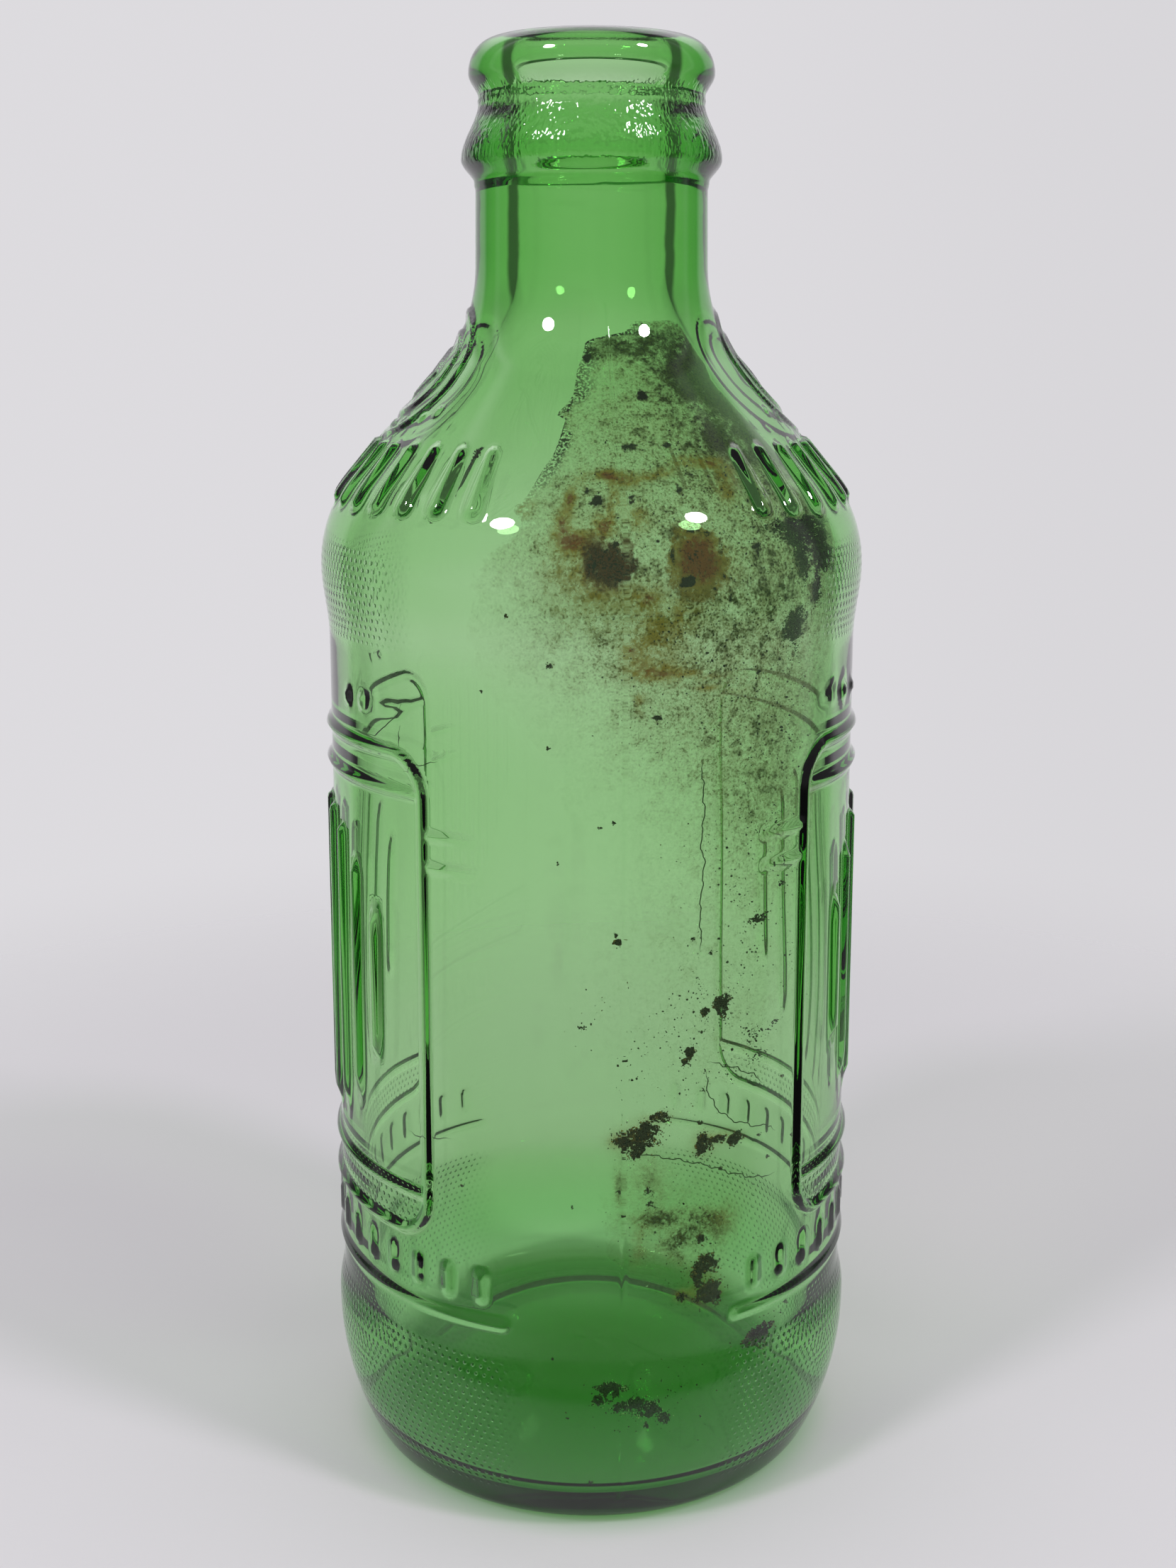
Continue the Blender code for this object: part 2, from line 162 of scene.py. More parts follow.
class BottleFinish(PropertyGroup):
    """Colours of the glass and of what has dried on it, as sRGB hex codes."""
    glass_absorbs: tint("Colour that the glass takes light towards", "82E141")
    moss_dark: tint("Colour of dense moss", "474A22")
    moss_pale: tint("Colour of the thin film", "F0EEDC")
    rust: tint("Colour of the rust stain", "A8542A")
    floor: tint("Colour of the paper under the bottle", "E4E2E5")


def linear(code):
    """Turns an sRGB hex code into linear red, green and blue, with a full alpha."""
    shares = np.array([int(code[i:i + 2], 16) for i in (0, 2, 4)]) / 255
    low, high = shares / 12.92, ((shares + 0.055) / 1.055) ** 2.4
    return (*(float(x) for x in np.where(shares <= 0.04045, low, high)), 1.0)


# What a kind's second word sets, and short words for the kinds that are used most
MAIN_SETTING = {"Math": "operation", "VectorMath": "operation", "Attribute": "attribute_name",
                "MapRange": "interpolation_type", "Mix": "data_type"}
SHORT_WORDS = {"plus": "Math ADD", "times": "Math MULTIPLY", "greatest": "Math MAXIMUM",
               "times_plus": "Math MULTIPLY_ADD", "spread": "MapRange SMOOTHSTEP", "blend": "Mix RGBA"}


def add_node(tree, kind, *values, named=None, **settings):
    """Adds a node, with its settings, and sets or links its open inputs in order or by name.
    A plus, times or greatest of more than two values becomes a chain of nodes. A spread
    maps one range to another with an S-shaped rise."""
    if kind in ("plus", "times", "greatest") and len(values) > 2:
        values = (add_node(tree, kind, *values[:-1]), values[-1])
    kind, *word = SHORT_WORDS.get(kind, kind).split()
    node = tree.nodes.new("ShaderNode" + kind)
    settings.update({MAIN_SETTING[kind]: text for text in word})
    for key, value in settings.items():
        setattr(node, key, value)
    sockets = [socket for socket in node.inputs if socket.enabled]
    pairs = [*zip(sockets, values), *((node.inputs[key], value) for key, value in (named or {}).items())]
    for socket, value in pairs:
        if isinstance(value, bpy.types.Node):
            value = next(output for output in value.outputs if output.enabled)
        if isinstance(value, bpy.types.NodeSocket):
            tree.links.new(value, socket)
        else:
            socket.default_value = value
    return node


def new_material(name):
    """An empty node material, and add_node for its node tree."""
    material = bpy.data.materials.new(name)
    material.use_nodes = True
    material.node_tree.nodes.clear()
    return material, partial(add_node, material.node_tree)


def place_object(name, data):
    """A new object in the scene."""
    thing = bpy.data.objects.new(name, data)
    bpy.context.scene.collection.objects.link(thing)
    return thing


def make_mesh(name, points, faces, material, values=None):
    """A smooth mesh object. Its values are point attributes."""
    mesh = bpy.data.meshes.new(name)
    mesh.from_pydata(points.tolist(), [], faces)
    mesh.shade_smooth()
    mesh.materials.append(material)
    for key, array in (values or {}).items():
        layer = mesh.attributes.new(key, "FLOAT", "POINT")
        layer.data.foreach_set("value", np.ascontiguousarray(array, np.float32).ravel())
    mesh.update()
    return place_object(name, mesh)


def make_piece(name, points, faces, material, node, values):
    """A mesh that rides on the bottle and stands for a node of the frame, if it has one."""
    piece = make_mesh(name, points, faces, material, values)
    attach(piece, BODY)
    if node:
        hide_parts(node)


def at(azimuth, radius, height):
    """Points at an azimuth in degrees, a radius and a height."""
    turn = np.radians(azimuth)
    across = (radius * np.sin(turn), -radius * np.cos(turn))
    return np.stack(np.broadcast_arrays(*across, height), axis=-1)


def arc(centre, radius, start, end, steps=30):
    """Points on a circle round centre, or on an ellipse of two radii, between two angles."""
    turn = np.linspace(start, end, steps + 1)
    return centre + np.stack([np.cos(turn), np.sin(turn)], axis=1) * radius


def ease(start, end, steps):
    """From start to end, the radius swings as half a cosine while the height climbs evenly."""
    share = np.linspace(0, 1, steps + 1)
    return start + np.stack([(1 - np.cos(math.pi * share)) / 2, share], axis=1) * np.subtract(end, start)


def join_runs(*runs):
    """Runs of points end to end, with each shared point kept once."""
    points = np.vstack([np.atleast_2d(run) for run in runs])
    apart = np.hypot(*np.diff(points, axis=0).T) > 1e-7
    return points[np.r_[True, apart]]


def body_bottom(wall):
    """Height at which the heel has eased into the body."""
    return wall.heel_height + wall.heel_land + wall.heel_fade


def body_top(wall):
    """Height at which the body starts to swell to the shoulder's band."""
    return body_bottom(wall) + wall.body_length


def shoulder_slope(wall, lower_radius, upper_radius):
    """Convex arc, straight slope and concave arc, between the band and the neck. The arcs
    share their centres on both sides of the glass, and the slope is their inner tangent."""
    lower = (wall.band_radius - wall.shoulder_round, body_top(wall) + wall.band_rise)
    upper = (wall.neck_root_radius + wall.neck_sweep, lower[1] + wall.shoulder_height)
    across, rise = np.subtract(upper, lower)
    lean = math.atan2(rise, across) - math.acos((lower_radius + upper_radius) / math.hypot(across, rise))
    return join_runs(arc(lower, lower_radius, 0, lean), arc(upper, upper_radius, math.pi + lean, math.pi))


def foot_centres(wall):
    """Centres of the heel's wide curve and of the foot's round that rolls inside it."""
    heel = (WIDEST_RADIUS - wall.heel_curve, wall.heel_height)
    rise = wall.heel_height - wall.foot_round
    return heel, (heel[0] + math.sqrt((wall.heel_curve - wall.foot_round) ** 2 - rise ** 2), wall.foot_round)


def outer_path(wall):
    """(radius, height) up the outside, from the bearing ring to the lip's outer edge."""
    heel, foot = foot_centres(wall)
    lean = math.atan2(foot[1] - heel[1], foot[0] - heel[0])
    runs = [arc(foot, wall.foot_round, -math.pi / 2, lean, 12), arc(heel, wall.heel_curve, lean, 0, 40)]
    heel_top = (WIDEST_RADIUS, wall.heel_height + wall.heel_land)
    runs.append(ease(heel_top, (wall.body_low_radius, body_bottom(wall)), 20))
    top = body_top(wall)
    runs.append(ease((wall.body_top_radius, top), (wall.band_radius, top + wall.band_rise), 20))
    runs.append(shoulder_slope(wall, wall.shoulder_round, wall.neck_sweep))
    end = (wall.neck_top_radius, runs[-1][-1][1] + wall.neck_length)
    for radius, rise, steps in ((wall.ring_radius, wall.ring_underside, 20),
                                (wall.throat_radius, wall.ring_slope, 24),
                                (wall.bead_radius, wall.bead_underside, 16)):
        runs.append(ease(end, (radius, end[1] + rise), steps))
        end = runs[-1][-1]
    crown = (wall.bead_radius - wall.lip_radius, wall.bead_crown)
    return join_runs(*runs, arc((wall.lip_radius, end[1]), crown, 0, math.pi / 2, 24))


def inner_path(wall):
    """(radius, height) of the inside, from the floor's middle up to the lip's inner edge. The
    floor falls off from its middle as half a cosine."""
    floor_radius = WIDEST_RADIUS - wall.heel_wall - wall.floor_round
    share = np.linspace(0, 1, 30)
    crown = wall.floor_crown * (1 + np.cos(math.pi * share)) / 2
    floor = np.stack([floor_radius * share, wall.base_thickness + crown], axis=1)
    turn_up = arc((floor_radius, wall.base_thickness + wall.floor_round), wall.floor_round, -math.pi / 2, 0)
    low = (wall.body_low_radius - wall.body_low_wall, body_bottom(wall))
    top = (wall.body_top_radius - wall.body_top_wall, body_top(wall))
    slope = shoulder_slope(wall, wall.shoulder_round - wall.shoulder_wall,
                           wall.neck_root_radius + wall.neck_sweep - wall.bore_radius)
    flare = ease((wall.bore_radius, MOUTH_HEIGHT - wall.mouth_flare),
                 (wall.lip_radius - wall.lip_land, MOUTH_HEIGHT), 12)
    return join_runs(floor, turn_up, low, ease(top, slope[0], 12), slope, flare)


def underside_path(wall):
    """(radius, height) of the underside, from the axis out to the bearing ring."""
    edge = foot_centres(wall)[1][0] - wall.bearing_width
    share = np.linspace(1, 0, 24)
    return np.stack([edge * (1 - share), wall.push_up * np.sin(math.pi / 2 * share)], axis=1)


def resample(path, spacing):
    """The same path with its points spread evenly, or by a spacing given at each point."""
    lengths = np.hypot(*np.diff(path, axis=0).T)
    spacing = np.broadcast_to(spacing, len(path))
    count = np.r_[0, np.cumsum(lengths * 2 / (spacing[1:] + spacing[:-1]))]
    places = np.linspace(0, count[-1], max(2, round(count[-1]) + 1))
    return np.stack([np.interp(places, count, column) for column in path.T], axis=1)


def stretch(path, low, high):
    """The part of a climbing path between two heights."""
    inside = (path[:, 1] > low) & (path[:, 1] < high)
    ends = [(np.interp(height, path[:, 1], path[:, 0]), height) for height in (low, high)]
    return np.vstack([ends[0], path[inside], ends[1]])


def path_normals(path):
    """Unit normals of a path, to the right of its run, which is outwards on a climb."""
    along = np.gradient(path, axis=0)
    along /= np.linalg.norm(along, axis=1)[:, None]
    return np.stack([along[:, 1], -along[:, 0]], axis=1)


def turned_points(path, azimuth, push=0.0):
    """Points of a path turned to each azimuth, pushed out along its normals."""
    normals = path_normals(path)
    radius, height = (path[:, axis, None] + normals[:, axis, None] * push for axis in (0, 1))
    return at(azimuth, radius, height)


def turn_run(*stops):
    """Azimuths of a whole turn, from those between a parting line and a panel's middle: stops,
    with the number of steps between each and the next."""
    runs = [np.linspace(start, end, steps, endpoint=False)
            for start, steps, end in zip(stops[::2], stops[1::2], stops[2::2])]
    quarter = np.concatenate([*runs, stops[-1:]])
    half = np.concatenate([quarter[:-1], 180 - quarter[:0:-1]])
    return np.concatenate([half, 180 + half])


NECK_TURN = turn_run(0, 30, 90)


def smooth_step(value):
    """Zero below 0, one above 1, and an S-shaped rise between."""
    value = np.clip(value, 0, 1)
    return value * value * (3 - 2 * value)


def ridge(distance, half_width):
    """A round-backed ridge: 1 on its line, 0 at half its width and beyond."""
    return smooth_step(1.25 * (1 - np.abs(distance) / half_width))


def nearest(place, first, last):
    """The nearest of the numbers that lie one apart from first to last."""
    return np.clip(np.round(place - first) + first, first, last)


def beyond(place, low, high):
    """Distance outside a range, and 0 within it."""
    return np.maximum(np.maximum(low - place, place - high), 0)


def from_panel(azimuth):
    """Degrees from the middle of the nearest panel."""
    return np.mod(azimuth, 180) - 90


def girth_radius(wall):
    """Radius of the body, half way up."""
    return (wall.body_low_radius + wall.body_top_radius) / 2


def frame_relief(azimuth, height, wall, moulding):
    """Height of the ribs round a panel: a rounded frame, and level lines for two rails, two bars
    that fade outwards, and a ledge. Each is a ridge over the distance to its line."""
    girth = girth_radius(wall)
    across = girth * np.radians(np.abs(from_panel(azimuth)))
    half = girth * moulding.frame_half_angle
    bottom = body_bottom(wall) + moulding.frame_below
    top = body_top(wall) - moulding.frame_above
    corner = moulding.frame_corner
    right = across - (half - corner)
    up = np.abs(height - (bottom + top) / 2) - ((top - bottom) / 2 - corner)
    outside = np.hypot(np.maximum(right, 0), np.maximum(up, 0)) + np.minimum(np.maximum(right, up), 0)
    rib = moulding.rib_width / 2
    bar_end = half + moulding.bar_length
    bar = 0.1 + 0.55 * smooth_step((bar_end + rib - across) / moulding.bar_length)
    bar_level = top - moulding.bar_drop
    relief = ridge(outside - corner, rib)
    for start, end, level, half_width, strength in (
            (0, half - rib, bottom + moulding.slot + rib, rib, 1),
            (0, half - rib, top - moulding.slot, rib, 1),
            (half, bar_end, bar_level, 0.8 * rib, bar),
            (half, bar_end, bar_level - moulding.bar_pitch, 0.8 * rib, bar),
            (0, girth * moulding.ledge_half_angle, body_bottom(wall) + moulding.ledge_rise, rib, 0.75)):
        away = np.hypot(beyond(across, start, end), height - level)
        relief = np.maximum(relief, strength * ridge(away, half_width))
    return moulding.rib_height * relief


def flute_relief(azimuth, height, wall, moulding):
    """Height of the upright flutes in a panel, four on each side of the middle one. Their
    ends lie on an ellipse that is 35 mm high and closes past the last flute."""
    half_height, closes_at, raised, half_width = 17.5 * MM, 4.35, 1.2 * MM, 1.25 * MM
    place = girth_radius(wall) * np.radians(from_panel(azimuth)) / moulding.flute_pitch
    number = nearest(place, -4, 4)
    tall = half_height * np.sqrt(1 - (number / closes_at) ** 2)
    middle = (body_bottom(wall) + body_top(wall)) / 2 + raised
    end = beyond(height - middle, -tall, tall)
    return moulding.flute_height * ridge(np.hypot((place - number) * moulding.flute_pitch, end), half_width)


def frieze_relief(azimuth, height, wall, moulding):
    """Height of the small marks: drops round the shoulder, studs over the ledge and dots
    beside the panels. All are upright pills on even pitches, and the drops narrow upwards."""
    aside, level = from_panel(azimuth), height / MM
    drop = np.interp(level, (112.8, 120.4), (1.45, 0.70))
    relief = 0
    # place, pitch, first and last mark, wall's radius, ends, half width, height, how blunt the ends are
    for place, pitch, first, last, radius, low, high, half_width, tall, blunt in (
            (aside, 9.0, -6.5, 6.5, 24.5, 114.2, 119.7, drop, moulding.drop_height, 1.25),
            (aside, 8.0, -7.5, 7.5, 30.3, 28.8, 31.2, 1.05, moulding.mark_height, 1),
            (np.abs(aside), 7.2, 3, 5, 29.9, 93.2, 93.2, 1.25, moulding.mark_height, 1)):
        across = radius * np.radians(place - pitch * nearest(place / pitch, first, last))
        away = np.hypot(across, blunt * beyond(level, low, high))
        relief = np.maximum(relief, tall * ridge(away, half_width))
    return relief


def medallion_relief(azimuth, height, wall, moulding):
    """Height of the plain medallion on the neck over each panel: two nested ovals with a
    lozenge in the middle, and a bow of 11 small dots under them."""
    aside, level = from_panel(azimuth), height / MM
    neck_radius, middle, lowest, highest, line = 15.5, 127.2, 119.4, 134.8, 0.62
    lozenge_wide, lozenge_tall, lozenge_slope = 2.6, 2.2, 1.7
    bow_radius, bow_level, bow_top, bow_lift, pitch, dot_radius = 19.5, 121.7, 124, 0.07, 6.4, 0.6
    across, up = neck_radius * np.radians(aside), level - middle
    relief = ridge(lozenge_slope * (np.abs(across) / lozenge_wide + np.abs(up) / lozenge_tall - 1), line)
    for wide, tall in ((7.6, 6.6), (5.3, 4.3)):
        away = np.hypot(across / wide, up / tall)
        slope = np.hypot(across / wide ** 2, up / tall ** 2) / np.maximum(away, 0.05)
        relief = np.maximum(relief, ridge((away - 1) / np.maximum(slope, 0.001), line))
    relief = relief * (level > lowest) * (level < highest)
    number = nearest(aside / pitch, -5, 5)
    rise = level - bow_level - bow_lift * number ** 2
    dot = np.hypot(bow_radius * np.radians(aside - pitch * number), rise)
    return moulding.oval_height * np.maximum(relief, 0.7 * ridge(dot, dot_radius) * (level < bow_top))


def seam_relief(azimuth, height, wall, moulding):
    """Height of the thin ridges that the mould's joints leave: upright at each parting
    line, and two wavy ones where the finish mould meets the body mould."""
    turn, level = np.radians(azimuth), height / MM
    body_radius, half_width, lowest, highest, ring_half_width, ring_strength = 30, 0.32, 3.5, 147, 0.45, 1.6
    from_seam = body_radius * np.radians(90 - np.abs(from_panel(azimuth)))
    relief = ridge(from_seam, half_width) * (level < highest) * (level > lowest)
    for line, lean in ((147.1, 0.4), (155.7, 2.0)):
        wavy = line + 0.10 * np.sin(turn + lean) + 0.08 * np.sin(3 * turn + 2 * lean)
        relief = np.maximum(relief, ring_strength * ridge(level - wavy, ring_half_width))
    return moulding.seam_height * relief


RELIEFS = (frame_relief, flute_relief, frieze_relief, medallion_relief, seam_relief)


def wall_bands(wall):
    """The outside as bands of rows. Each gives its highest height, the spacing of its rows and
    its azimuths, which lie close together where the relief is fine."""
    top = body_top(wall) / MM
    plain = turn_run(0, 3, 1.2, 45, 90)
    panel = turn_run(0, 3, 1.2, 14, 29, 18, 40.5, 26, 52, 46, 90)
    bands = (
        (4.2, 0.6, NECK_TURN), (21.4, 0.9, plain), (33.1, 0.45, turn_run(0, 3, 1.2, 10, 22, 78, 90)),
        (40.6, 0.37, panel), (75.2, 1.6, panel), (top - 8.6, 0.45, panel),
        (top, 0.6, turn_run(0, 3, 1.2, 16, 60, 32, 90)), (110.2, 0.9, plain),
        (121.6, 0.5, turn_run(0, 3, 1.2, 8, 24, 72, 90)), (134.8, 0.42, turn_run(0, 3, 1.2, 20, 50, 42, 90)),
        (139.2, 0.9, NECK_TURN), (146.2, 1.0, NECK_TURN), (157.6, 0.36, NECK_TURN))
    return [(high * MM, spacing * MM, turn) for high, spacing, turn in bands] + [
        (MOUTH_HEIGHT, 0.35 * MM, NECK_TURN)]


def band_faces(first, rows, columns):
    """Quads of a grid that closes round the turn, facing out on a climb."""
    row = np.arange(rows - 1)[:, None] * columns
    here = np.arange(columns)[None, :]
    after = (here + 1) % columns
    quads = np.stack([row + here, row + after, row + columns + after, row + columns + here], axis=-1)
    return (first + quads).reshape(-1, 4)


def fan(tip, ring):
    """Triangles from a tip to a closed ring, facing as the ring turns."""
    return np.stack([0 * ring + tip, ring, np.roll(ring, -1)], axis=1)


def tube_faces(rows, sides):
    """Quads and end triangles of a closed tube of rings, whose two tips come after them."""
    ring = np.arange(sides)
    ends = fan(rows * sides, ring), fan(rows * sides + 1, ring[::-1] + (rows - 1) * sides)
    return band_faces(0, rows, sides)[:, ::-1], np.vstack(ends)


def zip_faces(low_first, low_turn, high_first, high_turn):
    """Triangles between two rings with unlike azimuths. Going once round, each ring's next
    point is taken in order of azimuth, and makes a triangle with the other ring's last."""
    turn = np.concatenate([low_turn, high_turn])
    from_low = np.arange(len(turn)) < len(low_turn)
    order = np.lexsort((~from_low, turn))
    from_low = from_low[order]
    low_at, high_at = np.cumsum(from_low) - 1, np.cumsum(~from_low) - 1
    low_now, low_before = (low_first + (low_at - back) % len(low_turn) for back in (0, 1))
    high_now, high_before = (high_first + (high_at - back) % len(high_turn) for back in (0, 1))
    corners = [np.where(from_low, low_before, low_now), np.where(from_low, low_now, high_now),
               np.where(from_low, high_now, high_before)]
    return np.stack(corners, axis=1)


# How far the blown wall is thinner than drawn, its middle height, half height, and how steep its ends are
THINNED = ((0.85, 112, 22, 4), (0.80, 48, 23, 2), (-0.60, 143, 9, 4))
# Waves of the blown wall: part, waves in a turn, radians for each millimetre up, start
WAVES = ((0.45, 2, 0.11, 0.0), (0.30, 5, -0.23, 1.3), (0.25, 3, 0.41, 4.0))
# Height on the inside, and the spacing of its rows there
INSIDE_ROWS = ((8, 1.0), (16, 1.2), (24, 4.0), (98, 4.0), (106, 1.4), (140, 1.0), (158, 0.8), (162, 0.4))


def thinning(height):
    """How far the inner wall stands outside its drawn path, as a sum of soft steps: thin glass
    round the shoulder and low on the body, and thick glass in the neck."""
    return MM * sum(amount * np.exp(-((height / MM - level) / reach) ** power)
                    for amount, level, reach, power in THINNED)


def inside_points(wall, moulding):
    """The inside, from the lip down to the floor but for its middle point: its path turned,
    with the blown wall's slow waves, a sum of sines, and the neck's finer ripples, a product."""
    path = inner_path(wall)[::-1]
    path = resample(path, np.interp(path[:, 1] / MM, *np.transpose(INSIDE_ROWS)) * MM)[:-1]
    turn, level = np.radians(NECK_TURN), path[:, 1:] / MM
    slow = sum(part * np.sin(times * turn + climb * level + start) for part, times, climb, start in WAVES)
    ripple = np.sin(level / 0.55 + 2.2 * np.sin(turn)) * np.sin(level / 1.7 + 1)
    depth = smooth_step((MOUTH_HEIGHT / MM - level) / 12)
    waves = moulding.wave * depth * (slow + 0.9 * ripple * smooth_step((level - 132) / 8))
    return turned_points(path, NECK_TURN, waves - thinning(path[:, 1:]))


def glass_surface(wall, moulding):
    """One closed skin: out under the base, up the outside, over the lip and down the inside.
    The last array is 1 on the outside and 0 on the inside."""
    bands = [(turned_points(resample(underside_path(wall), 1.0 * MM)[1:], NECK_TURN), NECK_TURN)]
    outer = outer_path(wall)
    low = 0.0
    for high, spacing, azimuth in wall_bands(wall):
        path = resample(stretch(outer, low, high), spacing)
        path = path[:-1] if high < MOUTH_HEIGHT else path
        push = np.maximum.reduce([relief(azimuth, path[:, 1:], wall, moulding) for relief in RELIEFS])
        bands.append((turned_points(path, azimuth, push), azimuth))
        low = high
    outside_count = 1 + sum(grid[..., 0].size for grid, azimuth in bands)
    bands.append((inside_points(wall, moulding), NECK_TURN))
    points, faces = [[[0, 0, wall.push_up]]], []
    first = 1
    for number, (grid, azimuth) in enumerate(bands):
        rows, columns = grid.shape[:2]
        faces.extend(band_faces(first, rows, columns).tolist())
        if number:
            faces.extend(zip_faces(last_ring, last_azimuth, first, azimuth).tolist())
        points.append(grid.reshape(-1, 3))
        last_ring, last_azimuth = first + (rows - 1) * columns, azimuth
        first += rows * columns
    points = np.vstack([*points, [[0, 0, wall.base_thickness + wall.floor_crown]]])
    ring = np.arange(len(NECK_TURN))
    faces.extend(fan(0, ring[::-1] + 1).tolist() + fan(first, ring + last_ring).tolist())
    return points, faces, np.arange(len(points)) < outside_count


# Where the mould is stippled: lowest and highest height, fade at each, degrees from a parting line at
# which the dots start and are full, strength
STIPPLED = ((4.2, 22.2, 1.5, 19, 36, 1.0), (98.5, 110.5, 2.5, 42, 62, 0.6), (35.0, 38.9, 0.5, 45, 47, 0.8))


def stipple_height(add, place, moulding):
    """Height of the mould's stipple: round dots on a staggered grid, so many in a turn.
    A dot's height falls with the distance from its middle, and the dots grow weak
    towards the parting lines."""
    # In widths of a dot's cell: the cell's height, and the radii of the dot and of its flat top
    cell_tall, dot_edge, dot_top = 0.87, 0.27, 0.10
    above_zero = 1000.0
    x, y, height = add("SeparateXYZ", place).outputs
    turn = add("Math ARCTAN2", x, add("times", y, -1.0))
    row = add("times", height, 1 / moulding.stipple_row)
    odd = add("Math MODULO", add("Math FLOOR", row), 2.0)
    column = add("times_plus", turn, moulding.stipple_dots / TURN, add("times_plus", odd, 0.5, above_zero))
    # Place in a dot's own cell, from its middle
    aside, above = (add("plus", add("Math FRACT", steps), -0.5) for steps in (column, row))
    above = add("times", above, cell_tall)
    away = add("Math SQRT", add("times_plus", aside, aside, add("times", above, above)))
    from_seam = add("Math ABSOLUTE", add("Math SINE", turn))
    areas = [add("times", add("spread", height, low * MM, (low + soft) * MM),
                 add("spread", height, high * MM, (high - soft) * MM),
                 add("spread", from_seam, *np.sin(np.radians((start, full))), 0.0, strength))
             for low, high, soft, start, full, strength in STIPPLED]
    return add("times", add("spread", away, dot_edge, dot_top), add("greatest", *areas))


def green_glass(finish, moulding):
    """Soda-lime container glass, coloured green by chromium oxide and blown in an iron mould.
    To the eye it is clear and glossy, pale where it is thin and deep green edge on,
    because the colour grows with the length of glass that the light passes. The heel is
    stippled, and the finish is pitted where bottles rubbed and the mould was worn."""
    material, add = new_material("chromium_green_soda_lime_glass")
    place = add("TexCoord").outputs["Object"]
    _, depth, height = add("SeparateXYZ", place).outputs
    radius = add("VectorMath LENGTH", add("VectorMath MULTIPLY", place, (1, 1, 0)))
    # The worn finish, with pits 0.55 mm wide, on the outside only
    grit = add("TexNoise", add("VectorMath MULTIPLY", place, (1, 1, 0.55)), 1 / (0.55 * MM), 1.0, 0.5)
    worn = add("times", add("spread", height, 148.6 * MM, 149.8 * MM),
               add("spread", height, 157.6 * MM, 156.4 * MM), add("spread", radius, 10.6 * MM, 11.2 * MM))
    pitted = add("Bump", named={"Height": add("times", grit, worn), "Distance": 0.13 * MM})
    # The stipple shows less on the far side, through two walls of glass
    stipple = add("times", stipple_height(add, place, moulding), add("Attribute outer").outputs["Fac"],
                  add("spread", depth, -5 * MM, 12 * MM, 1.0, 0.4))
    dots = add("Bump", named={"Height": stipple, "Distance": moulding.stipple_height, "Normal": pitted})
    # Painted shade: the base colour is a deeper green in the heel, deeper still at its foot, and deepest on
    # the dots' steep sides, standing in for the darker light that comes through the thick base, the foot and
    # the dots
    heel = add("blend", add("spread", height, 9 * MM, 24 * MM), linear("E1FFE5"), linear("FFFFFF"))
    foot = add("times", add("spread", height, 5.5 * MM, 3 * MM), add("spread", radius, 24.5 * MM, 26.5 * MM))
    painted_shade_tint = add("blend", stipple, add("blend", foot, heel, linear("BCDDBF")), linear("598661"))
    glass = add("BsdfPrincipled", named={
        "Base Color": painted_shade_tint, "Roughness": 0.0, "IOR": 1.52, "Transmission Weight": 1.0, "Normal": dots,
        "Specular IOR Level": add("spread", height, 5 * MM, 30 * MM, 0.04, 0.32)})
    # Shadow and diffuse rays pass straight through, so that the lamps light what is inside
    path = add("LightPath").outputs
    straight = add("greatest", path["Is Shadow Ray"], path["Is Diffuse Ray"])
    surface = add("MixShader", straight, glass, add("BsdfTransparent", linear("FFEFFF")))
    colour_per_metre = 228.0
    add("OutputMaterial", surface, add("VolumeAbsorption", linear(finish.glass_absorbs), colour_per_metre))
    return material


class BOTTLE_OT_glass(Operator):
    """Make the moulded glass of the bottle"""
    bl_idname = "bottle.glass"
    bl_label = "Glass"

    def execute(self, context):
        moulding = context.scene.bottle_moulding
        points, faces, outer = glass_surface(context.scene.bottle_wall, moulding)
        material = green_glass(context.scene.bottle_finish, moulding)
        make_piece("green_glass_bottle", points, faces, material, "glass_bottle",
                   {"outer": outer})
        return {"FINISHED"}


def climbing_inside(wall):
    """The part of the inside's path that climbs, from the floor's lowest line to the lip."""
    path = inner_path(wall)
    return path[np.argmin(path[:, 1]):]


def wall_radius(wall, height):
    """Radius of the inner wall's drawn path at a height."""
    path = climbing_inside(wall)
    return np.interp(height, path[:, 1], path[:, 0])


def inner_wall(wall, azimuth, height, depth):
    """Points at a depth in from the inner wall: the wall's radius and lean at that height
    come from its path, and the point moves along the wall's normal."""
    path = climbing_inside(wall)
    out, up = (np.interp(height, path[:, 1], column) for column in path_normals(path).T)
    depth = depth - thinning(height)
    return at(azimuth, wall_radius(wall, height) - depth * out, height - depth * up)


def inward_normal(wall, azimuth, height):
    """Unit direction from the inner wall towards the bottle's middle."""
    inward = inner_wall(wall, azimuth, height, MM) - inner_wall(wall, azimuth, height, 0.0)
    return inward / np.linalg.norm(inward, axis=-1, keepdims=True)


def spot_field(wall, azimuth, height, spots):
    """Sum of soft spots, from 0 to 1.2. Each falls off as exp of minus its squared distance,
    measured in its own half width and half height along the wall, after a lean in degrees."""
    field = 0 * azimuth
    radius = wall_radius(wall, height)
    for turn, level, wide, tall, amount, *lean in spots:
        across = radius * np.radians(azimuth - turn) / MM
        up = height / MM - level
        lean = math.radians(sum(lean))
        run = across * math.cos(lean) + up * math.sin(lean)
        rise = up * math.cos(lean) - across * math.sin(lean)
        field = field + amount * np.exp(-(run / wide) ** 2 - (rise / tall) ** 2)
    return np.clip(field, 0, 1.2)


